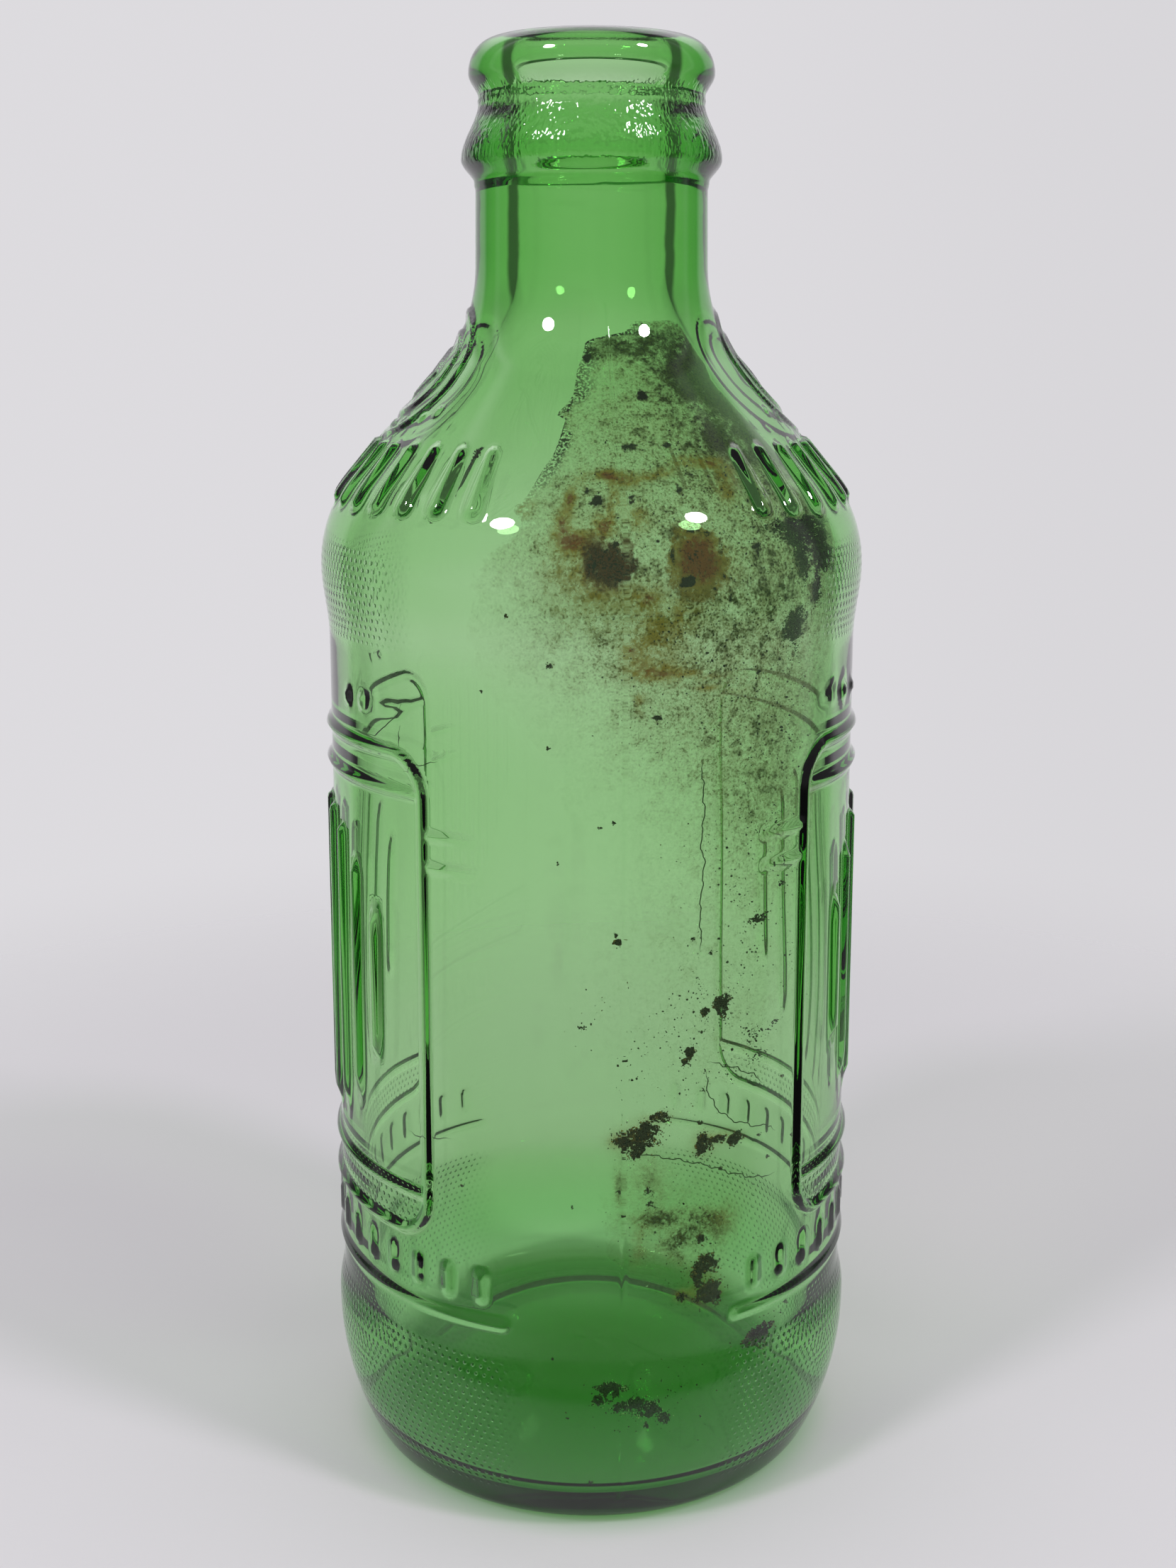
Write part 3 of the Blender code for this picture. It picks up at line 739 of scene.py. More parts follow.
def shell_faces(rows, columns):
    """Faces of a closed thin shell: an outer grid, an inner grid and the rim between them."""
    index = np.arange(rows * columns).reshape(rows, columns)
    outer = np.stack([index[:-1, :-1], index[:-1, 1:], index[1:, 1:], index[1:, :-1]], axis=-1).reshape(-1, 4)
    rim = np.concatenate([index[0, :-1], index[:-1, -1], index[-1, :0:-1], index[:0:-1, 0]])
    after = np.roll(rim, -1)
    edge = np.stack([rim, rim + index.size, after + index.size, after], axis=1)
    return np.vstack([outer, outer[:, ::-1] + index.size, edge]).tolist()


FILM_FIELDS = ("dense", "clear", "veil", "rust", "dark", "line")


def film_skin(wall, deposits, outline, low, high, step, marks, clearance):
    """A thin closed shell on the inner wall. Its grid runs between the outline's left and
    right azimuths at each height. Thickness grows where the moss is dense. Where the
    film is cut short of its outline it meets another film, and doesn't fade there."""
    outline = np.array(outline, float)
    rows = max(3, round((high - low) / step) + 1)
    level = np.linspace(low, high, rows)[:, None]
    height = level * MM
    left, right = (np.interp(level, outline[:, 0], column) for column in outline.T[1:])
    radius = wall_radius(wall, height)
    widest = np.radians((right - left).max()) * radius.max() / MM
    azimuth = left + (right - left) * np.linspace(0, 1, max(3, round(widest / step) + 1))
    fields = {key: spot_field(wall, azimuth, height, marks.get(key, ())) for key in FILM_FIELDS}
    fields["dense"] = np.clip(fields["dense"] - fields.pop("clear"), 0, 1.2)
    to_side = radius * np.radians(np.minimum(azimuth - left, right - azimuth)) / MM
    to_low, to_high = level - low, high - level
    to_end = np.minimum(to_side, np.minimum(to_low, to_high))
    edge_fade, thin_end = 3, 0.8
    meets_low, meets_high = (3 * edge_fade * cut for cut in (low > outline[0, 0], high < outline[-1, 0]))
    to_edge = np.minimum(to_side, np.minimum(to_low + meets_low, to_high + meets_high))
    fields["edge"] = np.clip(to_edge / edge_fade, 0, 1)
    # The crust's own ups and downs, from nothing to its full height
    rough = 0.5 + 0.25 * np.sin(azimuth * 1.7 + level * 2.1) + 0.25 * np.sin(azimuth * 2.9 - level * 3.3)
    thick = (deposits.film + deposits.crust * fields["dense"] * rough) * np.clip(to_end / thin_end, 0.04, 1)
    sides = [inner_wall(wall, azimuth, height, depth) for depth in (clearance, clearance + thick)]
    values = {key: np.tile(field.ravel(), 2) for key, field in fields.items()}
    return np.reshape(sides, (-1, 3)), shell_faces(*azimuth.shape), values


def crumb_cloud(wall, gap, spots, count, smallest, largest, seed, layers, rings, sides):
    """Irregular crumbs that lie on the inner wall. Each is a ball of rings and sides whose
    radius is a product of sine waves, flattened and turned at random. Crumbs are shared
    between the spots by area and lie deeper in the middle of a spot."""
    draw = np.random.default_rng(seed)
    smallest, largest = smallest * MM, largest * MM
    # Which spot each crumb lies in, and where in it: the spot is an ellipse with a lobed edge
    middle, level, wide, tall = np.array(spots, float).T
    owner = draw.choice(len(spots), count, p=wide * tall / (wide * tall).sum())
    share = np.sqrt(draw.random(count))
    turn = draw.random(count) * TURN
    phase = owner * 2.4 + seed
    lobes = 1 + 0.30 * np.sin(3 * turn + phase) + 0.20 * np.sin(7 * turn + 2 * phase)
    share = share * (lobes + 0.9 * (draw.random(count) > 0.95))
    height = (level[owner] + tall[owner] * share * np.sin(turn)) * MM
    across = wide[owner] * MM * share * np.cos(turn)
    azimuth = middle[owner] + np.degrees(across / wall_radius(wall, height))
    size = smallest + (largest - smallest) * draw.random(count) ** 2 * np.clip(1.5 - share, 0.15, 1)
    depth = 0.62 * size + layers * draw.random(count) * np.clip(1 - share ** 2, 0, 1) * largest
    centre = inner_wall(wall, azimuth, height, gap + depth)
    # The ball, and for each crumb its swell, its stretch and its turn
    tilt = np.linspace(0, math.pi, rings + 2)[1:-1, None]
    spin = np.linspace(0, 360, sides, endpoint=False) + 90
    ball = np.vstack([at(spin, np.sin(tilt), np.cos(tilt)).reshape(-1, 3), [[0, 0, 1]], [[0, 0, -1]]])
    phase = draw.random((count, 3, 1)) * TURN
    swell = 1 + 0.22 * np.sin(5.3 * ball[:, 2] + phase[:, 2]) \
        + 0.34 * np.sin(3.1 * ball[:, 0] + phase[:, 0]) * np.sin(2.7 * ball[:, 1] + phase[:, 1])
    stretched = 0.62 + 0.5 * draw.random((count, 1, 3))
    local = ball * np.clip(swell, 0.4, 1.3)[..., None] * stretched * size[:, None, None]
    first, second = draw.random(count) * TURN, draw.random(count) * TURN
    c1, s1, c2, s2 = np.cos(first), np.sin(first), np.cos(second), np.sin(second)
    turned = np.array([[c1, -s1, 0 * c1], [s1 * c2, c1 * c2, -s2], [s1 * s2, c1 * s2, c2]])
    local = np.einsum("ijn,nkj->nki", turned, local)
    # A crumb that would reach past the gap moves in until it no longer does
    inward = inward_normal(wall, azimuth, height)
    reach = np.einsum("nki,ni->nk", local, inward).min(axis=1)
    centre = centre + inward * np.maximum(-depth - reach, 0)[:, None]
    shift = np.arange(count)[:, None, None] * len(ball)
    faces = [corner for block in tube_faces(rings, sides)
             for corner in (block + shift).reshape(-1, block.shape[1]).tolist()]
    # A crumb's tone: a random part, and a part that rises towards its spot's edge, which is painted light for
    # the light that shines through a clump's thin edge
    tone = 0.6 * draw.random(count) + 0.4 * np.clip(share, 0, 1) ** 3
    return (centre[:, None] + local).reshape(-1, 3), faces, np.repeat(tone, len(ball))


def thread_tube(wall, gap, stops, radius, sides=6):
    """A thin tube along the inner wall: a small circle carried along a line through the
    stops (azimuth, height), with a slight wander and tapered ends."""
    spacing, taper_length = 0.35, 1.5
    stops = np.array(stops, float)
    along = np.r_[0, np.cumsum(np.hypot(*(np.diff(stops, axis=0) * (0.5, 1)).T))]
    place = np.linspace(0, along[-1], max(8, round(along[-1] / spacing)))
    wander = 0.10 * np.sin(place * 2.3 + stops[0, 1]) + 0.06 * np.sin(place * 5.1)
    azimuth = np.interp(place, along, stops[:, 0]) + wander * 2
    height = (np.interp(place, along, stops[:, 1]) + wander) * MM
    centre = inner_wall(wall, azimuth, height, gap + radius)
    inward = inward_normal(wall, azimuth, height)
    run = np.gradient(centre, axis=0)
    side = np.cross(run / np.linalg.norm(run, axis=1)[:, None], inward)
    spin = np.linspace(0, TURN, sides, endpoint=False)[:, None]
    taper = np.clip(np.minimum(place, along[-1] - place) / taper_length, 0.25, 1) * radius
    ring = inward[:, None] * np.cos(spin) + side[:, None] * np.sin(spin)
    points = (centre[:, None] + ring * taper[:, None, None]).reshape(-1, 3)
    points = np.vstack([points, centre[0], centre[-1]])
    faces = [corner for block in tube_faces(len(place), sides) for corner in block.tolist()]
    return points, faces, np.full(len(points), 0.5)


def joined(parts):
    """Several meshes as one: points stacked, face numbers shifted, and their tones as values."""
    points, faces, tones, first = [], [], [], 0
    for part_points, part_faces, part_tone in parts:
        points.append(part_points)
        faces.extend([[index + first for index in face] for face in part_faces])
        tones.append(part_tone)
        first += len(part_points)
    return np.vstack(points), faces, {"tone": np.concatenate(tones)}


# Outlines of the films: height, left and right azimuth
FILM_OUTLINE = (
    (51.5, 0, 41), (53.4, -10, 46), (57.8, -18, 48), (64, -22, 50), (69.4, -20, 52), (75, -16, 54),
    (82, -12, 57), (88.4, -14, 60), (92.5, -22, 62), (94.7, -28, 64), (95.8, -30, 66), (98.7, -33, 70),
    (102.1, -33, 75), (104.6, -33, 78), (106.8, -33, 80), (108.6, -31, 82), (110.8, -25.5, 83),
    (112.2, -21.2, 84), (113.5, -24.7, 85), (114.2, -22.1, 86), (116.8, -19.4, 88), (118.5, -16.9, 89),
    (120, -15.9, 90), (121.7, -15, 90), (122.2, -18.6, 90), (123, -15.6, 90), (124.1, -13.3, 90),
    (126.6, -12.8, 88), (127.8, -11.1, 87), (130, -9.5, 84), (131, 12.5, 78), (132.2, 17, 58))
LOW_FILM_OUTLINE = (
    (25.5, 9, 28), (30, 4, 31), (34, -3, 32), (38, -4, 34), (42, -7, 34), (46, -8, 36), (51.4, -8, 34))
LEFT_RUST_OUTLINE = (
    (106.3, -7, 0), (107, -9, 2), (109, -10, 4), (111, -9, 5), (112, -7, 3))
RIGHT_RUST_OUTLINE = (
    (105.2, 12, 19), (107, 8, 23), (109, 7, 24), (111, 8, 22), (112.3, 11, 18))
# Spots on the films: azimuth, height, half width and half height along the wall, amount, and a lean
MOSS_MARKS = {
    "dense": (
        (26.5, 128.7, 4.5, 1.7, .42), (45.7, 127.2, 3.3, 4.3, .5), (47, 124.6, 6.5, 2.3, .5, -40),
        (50, 121.7, 7.5, 2.2, .45, -40), (27, 123.5, 4.2, 2.3, .55), (33, 120.1, 5.3, 1.7, .7),
        (41.8, 118.5, 4, 1.5, .7), (19.2, 130.5, 1.9, .9, .7), (6, 129.6, 1.8, .4, .5),
        (30.3, 109.7, 2.5, 1.7, .25), (24.4, 106.4, 2.4, 1.5, .2), (34.2, 105.9, 3.4, 1.7, .26),
        (21.3, 102.3, 5.6, 3.5, .12), (38.8, 98.3, 5.3, 5.8, .16), (30.7, 91, 5.8, 3.5, .14),
        (-.5, 127.6, 1.5, 1.4, .25), (-7.2, 128.2, .7, .9, .7), (60, 126, 8, 5, .5), (66, 118, 9, 5, .4),
        (56, 110, 7, 5, .35), (47, 86, 6, 6, .2), (36, 80, 5, 6, .14), (28, 86, 3, 4, .15)),
    "clear": (
        (7.2, 121.8, 2.2, 1.6, .9), (2.7, 125.2, 2.3, 1.7, .5), (-7, 118.4, 1.7, 1.2, .4),
        (10.1, 117.8, 3, .6, .7), (-7.5, 113.4, 1.7, 1.4, .9), (4.5, 114.7, 1.8, .9, .5),
        (6.9, 110.3, 1.8, 1.7, .5)),
    "veil": (
        (10, 124, 11, 8, .6), (-6, 112, 10, 7, .65), (14, 108, 12, 8, .7), (30, 112, 12, 10, .6),
        (-2, 101, 8, 5, .42), (24, 98, 12, 9, .6), (34, 86, 9, 9, .5), (14, 92, 8, 7, .35),
        (26, 72, 10, 12, .2), (8, 64, 7, 8, .08), (28, 58, 7, 6, .16), (60, 115, 16, 14, .6)),
    "rust": (
        (-3, 116.5, 1.1, .5, .9), (1.5, 116, 1.3, .6, .8), (7.1, 116.3, 1.2, .35, .7),
        (12.3, 116.7, .9, .35, .6), (19.4, 117.6, 1.6, .46, .7), (26, 117.3, 1.7, .46, .8),
        (29.6, 116.2, 1.15, .93, .6), (26.7, 114.6, 1.1, .93, .6), (-.8, 114.7, .4, 1.2, .6, 25),
        (-11.5, 114.4, .5, 1, .9), (-12.9, 112.3, .8, 1.3, .8), (-10.5, 110.9, 1.7, 1, 1),
        (-3.8, 112.1, 1, .9, .9), (-2.3, 113.4, .4, 1, .6), (3.4, 112.8, .9, .9, .6),
        (-22.5, 113.7, 1.1, .8, .5), (-9.1, 116.3, .75, .9, .35), (-11, 108.5, 2.6, 1.7, .3),
        (-5.2, 106.7, 2, 1.45, .3), (4.8, 105.8, 1.2, .75, .5), (6, 103, 2.7, 3.2, .22),
        (1.6, 100.6, .8, .8, .7), (3.1, 98.8, 1.3, 1.3, .4), (7.7, 98, 2.1, .7, .5),
        (15.6, 97.7, 2.5, .25, .6, -6), (18.9, 96.2, 2.9, .2, .5, -8), (3.2, 95.5, .65, .4, .6),
        (3.2, 94.3, .2, .64, .5), (11.1, 104, .45, 1.75, .5), (20.5, 108.1, 1.6, 2, .35),
        (-6.3, 109.3, 1.2, 1.2, .4), (3, 106, 3, 1.6, .2), (5.5, 103.5, 2.6, 2.2, .2),
        (5.2, 100.6, 2.3, 2.2, .24), (8, 98.4, 3.4, 1.2, .22), (-10, 106.4, 4.5, 2.2, .18),
        (-7, 104, 3.5, 2, .14), (14, 104.8, 1.6, 3, .18)),
    "dark": (
        (-5.3, 114.2, .64, .58, 1), (-7.6, 115.1, .35, .32, .8), (2.6, 114.3, .44, .35, .9),
        (14.6, 115.1, .47, .38, .8), (12.3, 124, .8, .6, .8), (3.6, 119, 1.3, .3, .9),
        (15.5, 119.2, .56, .3, .9), (30.2, 109.8, .54, .38, .9), (23.1, 105.4, .33, .41, .8),
        (16.3, 100, .22, .23, .7), (30.8, 97.3, .33, .26, .9), (43.3, 93.9, .4, .23, .8),
        (7.3, 93.5, .72, .26, .9, 20), (-8.9, 127.9, .46, .7, .9), (20.6, 131.9, 1, .2, .7),
        (32.3, 113.8, .45, .3, .8), (29.2, 113.1, .3, .23, .7), (11.5, 93.7, .43, .17, .6),
        (41.5, 110.8, 2.3, 1.5, .55), (49.3, 111, 3, 1, .7), (51.4, 108.6, 2.2, 2.2, .75),
        (43, 108.1, 1.3, 1.8, .55), (47.9, 105.2, .8, 1.5, .6), (41, 102, 1.5, 2, .7)),
    "line": ((-14, 121, 6, 9, 1), (2, 130, 10, 2, 1))}
LOW_MARKS = {
    "dense": (
        (10.1, 38, 3.4, .9, .9), (18.7, 37, 1.6, .9, .7), (13.5, 34.9, 1.9, 1.1, .8), (4, 35.6, .6, 1.8, .4),
        (23.3, 35.7, 1.7, 2.2, .4), (6, 42.7, 1.9, 2.5, .3), (15.2, 36.1, 1.2, 1.1, .9),
        (-.4, 42.1, .5, 2.2, .5), (13.6, 33, .8, .7, .6)),
    "veil": ((12, 37, 6, 5, .42),),
    "rust": (
        (2.6, 47.6, 2, 1.6, .6), (7.4, 49.8, 1.6, .8, .5), (-1.5, 47.5, .9, .8, .5),
        (18.5, 46.2, 1.3, 1.5, .55), (22.5, 46.5, 1.4, .7, .6), (26.5, 46, 1.2, .8, .3),
        (19.3, 31.4, 1.7, 1.5, .55), (20.3, 28.2, 1.9, 1.7, .6), (16, 28.6, 1.6, .7, .35),
        (13.7, 28.3, .8, .7, .5), (4, 35.7, 1, 2, .22), (24, 36.8, 1.8, 1.6, .2)),
    "dark": ((18.3, 34.9, .4, .4, .8),)}
LEFT_RUST_MARKS = {
    "dense": ((-4, 109.2, 2, 1.6, 1.1), (.2, 108.6, 1.8, 1.4, 1)),
    "veil": ((-2.6, 109, 3.6, 2.4, .8),),
    "dark": (
        (-1.6, 110.6, .5, .3, .6), (-6, 108.8, .3, .4, .6), (-4.6, 109.8, 1.3, .8, .34),
        (-.6, 108.4, 1.4, .9, .32))}
RIGHT_RUST_MARKS = {
    "dense": ((15.2, 108.8, 2.7, 2.4, .62),),
    "veil": ((15.2, 108.8, 3.2, 3, 1.1),),
    "rust": ((15.6, 109, 3.1, 2.8, 1.2),),
    "dark": (
        (13.4, 107.3, .6, .5, 1.1), (10.2, 109.5, .5, 1, .5), (12, 111, 1, .4, .45),
        (15, 111.6, .9, .35, .5), (18, 111.2, 1, .4, .45), (20.8, 109.8, .5, 1, .5), (21, 107.6, .4, .8, .4),
        (18.4, 106.3, .9, .4, .5), (11.6, 107, .6, .6, .45), (15.2, 109.3, .9, .5, .4))}
# Clumps by node: seventh part of their crumbs, and spots of azimuth, height, half width, half height
MOSS_CLUMPS = {
    "moss_clump_shoulder": (230, [
        (41.5, 110.8, 2.1, 1.4), (49.3, 111, 2.8, .9), (51.4, 108.6, 1.9, 2), (43, 108.1, 1.2, 1.7),
        (47.9, 105.2, .7, 1.4), (36.6, 111.4, 1.3, .6)]),
    "moss_clump_side": (90, [(41, 102, 1.5, 2), (38.4, 101.2, .8, .6)]),
    "moss_clump_foot": (150, [
        (-2.3, 17.5, 1.5, .9), (-5.1, 16.4, .6, .5), (-.3, 15.5, .9, .6), (3.3, 15.8, 1.3, .7),
        (6.6, 15, 1.4, 1), (10, 13.8, .75, .6), (5.8, 13.2, .4, .3)])}
MUD_CLUMPS = {
    "mud_clump_1": (16, [(-.9, 69.7, .45, .35), (-1.3, 70.5, .15, .2)]),
    "mud_clump_2": (60, [(22.6, 61.7, .95, 1.25), (18.6, 61.2, .5, .42)]),
    "mud_clump_3": (34, [(15, 56.9, .5, .6), (14, 55.9, .4, .35)]),
    "mud_clump_4": (190, [
        (3, 47.3, 1.9, 1.5), (8.2, 49.9, 1.2, .6), (2.9, 45.8, .6, .5), (5.6, 48.6, 1.2, .9),
        (-.6, 47.4, .7, .5)]),
    "mud_clump_5": (96, [
        (18.3, 46.1, .9, 1.2), (22, 46.3, 1, .4), (26.3, 45.8, 1, .6), (17.5, 48.7, .22, .22)]),
    "mud_clump_6": (100, [(19.5, 31.6, 1.5, 1.2), (17.6, 30.5, .7, 1), (18.3, 34.9, .5, .5)]),
    "mud_clump_7": (110, [(20.6, 28, 1.55, 1.4), (13.7, 28.2, .55, .5), (18, 29.3, .5, .45)]),
    "mud_clump_8": (110, [(34.9, 20.4, 2, 1.5), (31.3, 20, .55, .45)])}
LONE_SPECKS = (
    (-15.6, 90.4, .2, .2), (-2, 82.6, .2, .2), (-4.8, 82.1, .25, .1), (-13.7, 78.2, .1, .2),
    (15.5, 69.5, .2, .2), (19.7, 67.7, .22, .25), (23.9, 66.4, .12, .12), (-8.6, 60.4, .5, .2),
    (-6.6, 60.8, .12, .12), (39.6, 73.8, .6, .3), (32.3, 70.5, 1.3, .5), (40.2, 51.5, .2, .15),
    (27, 46.6, .5, .3), (33, 45.5, .2, .15), (35.8, 42.5, .2, .15), (44.2, 43.8, .2, .2),
    (5.9, 41.5, .5, .45), (6.3, 40, .38, .35), (.6, 56.7, .15, .15), (17.5, 48.7, .2, .2),
    (-35.8, 40.7, .3, .15), (-10.7, 39.8, .1, .25), (-15.1, 21.4, .12, .12), (-.5, 41.7, .25, .3),
    (43.9, 23.2, .4, .3), (-6.7, 6.1, .25, .3), (-39.4, 118, .4, .5), (-15.3, 99, .35, .35),
    (-24, 104, .1, .2), (-30, 96, .12, .12), (22.6, 42.8, .2, .2), (37.4, 58.2, .5, .2))
DENSE_GRIT = (
    (33.3, 57.3, 1.3, 1.3), (32.5, 55, 1.5, .8), (29.9, 57.4, .8, 1.2), (32, 70.5, 1.5, .8))
THIN_GRIT = (
    (26, 62, 9, 12), (30, 80, 8, 10), (10, 58, 9, 8), (20, 100, 12, 12), (24, 112, 12, 12), (12, 36, 8, 7),
    (6, 16, 8, 5), (34, 92, 7, 8))
# Dried rootlets: runs of azimuth and height
THREADS = (
    [(17.1, 89), (18, 83), (17.2, 80), (18.1, 77.6), (17.1, 72.8), (17.4, 68)],
    [(18.7, 54.8), (19, 52.4), (21, 50.2), (25, 48.3), (31.5, 46.8), (36.7, 46.1), (37.8, 45.2)],
    [(2.4, 46.2), (9.7, 45.2), (14.8, 44.4), (19.5, 43.5), (25.3, 42), (31.8, 40.6), (37.9, 40.1)],
    [(19, 55.6), (26.5, 54.1), (31.2, 52.8), (34.2, 51.5)],
    [(-69.5, 88.5), (-60.9, 89.3), (-57.6, 90.4), (-52.3, 92.3), (-51, 93.5)],
    [(-51.5, 91.2), (-52, 90), (-52.9, 88.3)], [(-50.8, 86.3), (-45.8, 87.3), (-41.1, 88)],
    [(-50.7, 45.2), (-47.5, 45.1), (-38.5, 46)])


def film_material(name, pale, lime, mid, dense, rust):
    """Dried moss and lime scale: a matt veil that dulls the glass, grainy, pale where it is
    thin and olive to black where it is thick, with torn edges and rust-brown tide marks."""
    material, add = new_material(name)
    place = add("TexCoord").outputs["Object"]
    edge, line, thick, veil, stain, blot = (add("Attribute " + key).outputs["Fac"]
                                            for key in ("edge", "line", "dense", "veil", "rust", "dark"))
    # Noise of four widths in millimetres: the film's grain, its finest specks, its patches and its mottle
    grain, fine, patch, mottle = (
        add("TexNoise", place, 1 / (wide * MM), detail, roughness) for wide, detail, roughness in (
            (0.62, 6.0, 0.75), (0.24, 3.0, 0.65), (4.0, 5.0, 0.65), (1.5, 4.0, 0.6)))
    off_grain, off_patch = add("plus", grain, -0.5), add("plus", patch, -0.5)
    # Where the torn edge runs, and the dark tide line along it
    from_edge = add("plus", add("times_plus", off_patch, 1.9, edge), off_grain)
    inside = add("spread", from_edge, 0.12, 0.34)
    rim = add("times", add("spread", from_edge, 0.40, 0.16), line, add("spread", fine, 0.40, 0.56))
    # How thick the moss, the veil and the stain are once the noise has broken them up
    tatter = add("times_plus", off_patch, 2.0, add("times_plus", off_grain, 2.6, 0.5))
    thick = add("times", thick, add("spread", tatter, 0.0, 1.0, 0.20, 1.5))
    veil = add("times", veil, add("spread", add("times_plus", off_patch, 0.8, grain), 0.30, 0.68, 0.45, 1.25))
    broken = add("spread", add("times_plus", off_patch, 0.5, grain), 0.30, 0.62, 0.75, 1.25)
    stain = add("times", stain, broken, use_clamp=True)
    blot = add("spread", add("times_plus", off_grain, 1.5, blot), 0.34, 0.50)
    olive = add("times_plus", veil, add("spread", mottle, 0.48, 0.66, 0.0, 0.45), thick)
    specks = add("times", add("spread", fine, 0.555, 0.615),
                 add("times_plus", olive, 0.9, add("times", veil, 0.42)))
    flakes = add("times", add("spread", grain, 0.62, 0.74, 0.0, 0.5), add("times_plus", veil, 0.15, olive))
    dark = add("greatest", blot, rim, specks, flakes, use_clamp=True)
    scale = add("blend", add("spread", fine, 0.38, 0.60), linear(pale), linear(lime))
    moss = add("blend", add("spread", fine, 0.42, 0.62), linear(mid), linear(dense))
    body = add("blend", add("spread", olive, 0.12, 0.80), scale, moss)
    tan = add("blend", add("times", stain, 1.9, use_clamp=True), body, linear("C8A850"))
    rusty = add("blend", add("spread", stain, 0.62, 1.10), tan, linear(rust))
    colour = add("blend", dark, rusty, linear("26281A"))
    lesser = add("times_plus", stain, 0.45, add("times", dark, 0.80))
    cover = add("times_plus", olive, 0.75, add("times_plus", veil, 0.34, lesser), use_clamp=True)
    shown = add("times", cover, add("greatest", inside, blot, rim), use_clamp=True)
    skin = add("BsdfPrincipled", named={
        "Base Color": colour, "Roughness": 0.85, "Specular IOR Level": 0.2,
        "Normal": add("Bump", named={"Height": grain, "Distance": 0.2 * MM})})
    lit = add("MixShader", 0.5, skin, add("BsdfTranslucent", colour))
    add("OutputMaterial", add("MixShader", shown, add("BsdfTransparent"), lit))
    return material


def crumb_material(name, dark, light, fleck):
    """Dried mud or moss in crumbs: matt and rough, each crumb of its own tone. Its grainy colour
    is darker where the same noise sinks its bump, which is grain and painted shade in its pores.
    The lightest crumbs, most of them towards a clump's edge, take a pale fleck colour: pale
    crumbs, and painted glints."""
    material, add = new_material(name)
    tone = add("Attribute tone").outputs["Fac"]
    grain = add("TexNoise", add("TexCoord").outputs["Object"], 1 / (0.22 * MM), 4.0, 0.65)
    # Painted shade: the crumb is darker where the grain, which also sets its bump, is low
    shade = add("plus", add("times", tone, 0.55), add("plus", grain, -0.35), use_clamp=True)
    earth = add("blend", shade, linear(dark), linear(light))
    # The lightest crumbs take the fleck colour: pale crumbs, and painted glints
    matt = add("BsdfPrincipled", named={
        "Base Color": add("blend", add("spread", tone, 0.78, 0.92), earth, linear(fleck)),
        "Roughness": 0.92, "Specular IOR Level": 0.25,
        "Normal": add("Bump", named={"Height": grain, "Distance": 0.1 * MM})})
    add("OutputMaterial", matt)
    return material


class BOTTLE_OT_films(Operator):
    """Make the dried moss films, the mud film and the rust patches on the inner wall"""
    bl_idname = "bottle.films"
    bl_label = "Films"

    def execute(self, context):
        scene = context.scene
        deposits, finish = scene.bottle_deposits, scene.bottle_finish
        # Pale and limy where the film is thin, mid and dense where it is thick, and its rust
        moss, olive, rust = (film_material(*colours, finish.rust) for colours in (
            ("dried_moss_film", finish.moss_pale, "B4AE7C", "6B6E36", finish.moss_dark),
            ("olive_mud_film", "B5B07C", "B4AE7C", "6B6E36", "4A4524"),
            ("rust_stain", "9A6A40", "A8743C", "7A4A2E", "33261C")))
        far, near = deposits.clearance, deposits.crumb_clearance
        # Piece, finish, node, and what film_skin takes: the films lie behind the crumbs and the rust
        for name, material, slot, node, *skin in (
                ("moss_film_on_shoulder", moss, "dried_moss", "moss_film_neck",
                 FILM_OUTLINE, 104.0, 132.2, 0.42, MOSS_MARKS, far),
                ("moss_film_on_body", moss, "dried_moss", "moss_film_body",
                 FILM_OUTLINE, 51.5, 104.0, 0.55, MOSS_MARKS, far),
                ("olive_film_low", olive, "dried_mud", "mud_film_low",
                 LOW_FILM_OUTLINE, 25.5, 51.4, 0.35, LOW_MARKS, far),
                ("rust_stain_left", rust, "rust_stain", "rust_patch_left",
                 LEFT_RUST_OUTLINE, 106.3, 112.0, 0.25, LEFT_RUST_MARKS, near),
                ("rust_stain_right", rust, "rust_stain", "rust_patch_right",
                 RIGHT_RUST_OUTLINE, 105.2, 112.3, 0.25, RIGHT_RUST_MARKS, near)):
            points, faces, values = film_skin(scene.bottle_wall, deposits, *skin)
            make_piece(name, points, faces, material, node, values)
        return {"FINISHED"}


class BOTTLE_OT_clumps(Operator):
    """Make the clumps of dried moss and mud"""
    bl_idname = "bottle.clumps"
    bl_label = "Clumps"

    def execute(self, context):
        wall, deposits = context.scene.bottle_wall, context.scene.bottle_deposits
        moss = crumb_material("dried_moss_crumbs", "0A1006", "465A2C", "C8D8B0")
        mud = crumb_material("dried_mud_crumbs", "070402", "46301A", "8A6A34")
        for table, material, slot in ((MOSS_CLUMPS, moss, "dried_moss"), (MUD_CLUMPS, mud, "dried_mud")):
            for seed, (node, (count, spots)) in enumerate(table.items()):
                points, faces, tone = crumb_cloud(wall, deposits.crumb_clearance, spots, 7 * count, 0.06,
                                                  deposits.crumb / MM, seed + 11, 2.6, 3, 6)
                make_piece("crumbs_of_" + node, points, faces, material, node, {"tone": tone})
        return {"FINISHED"}


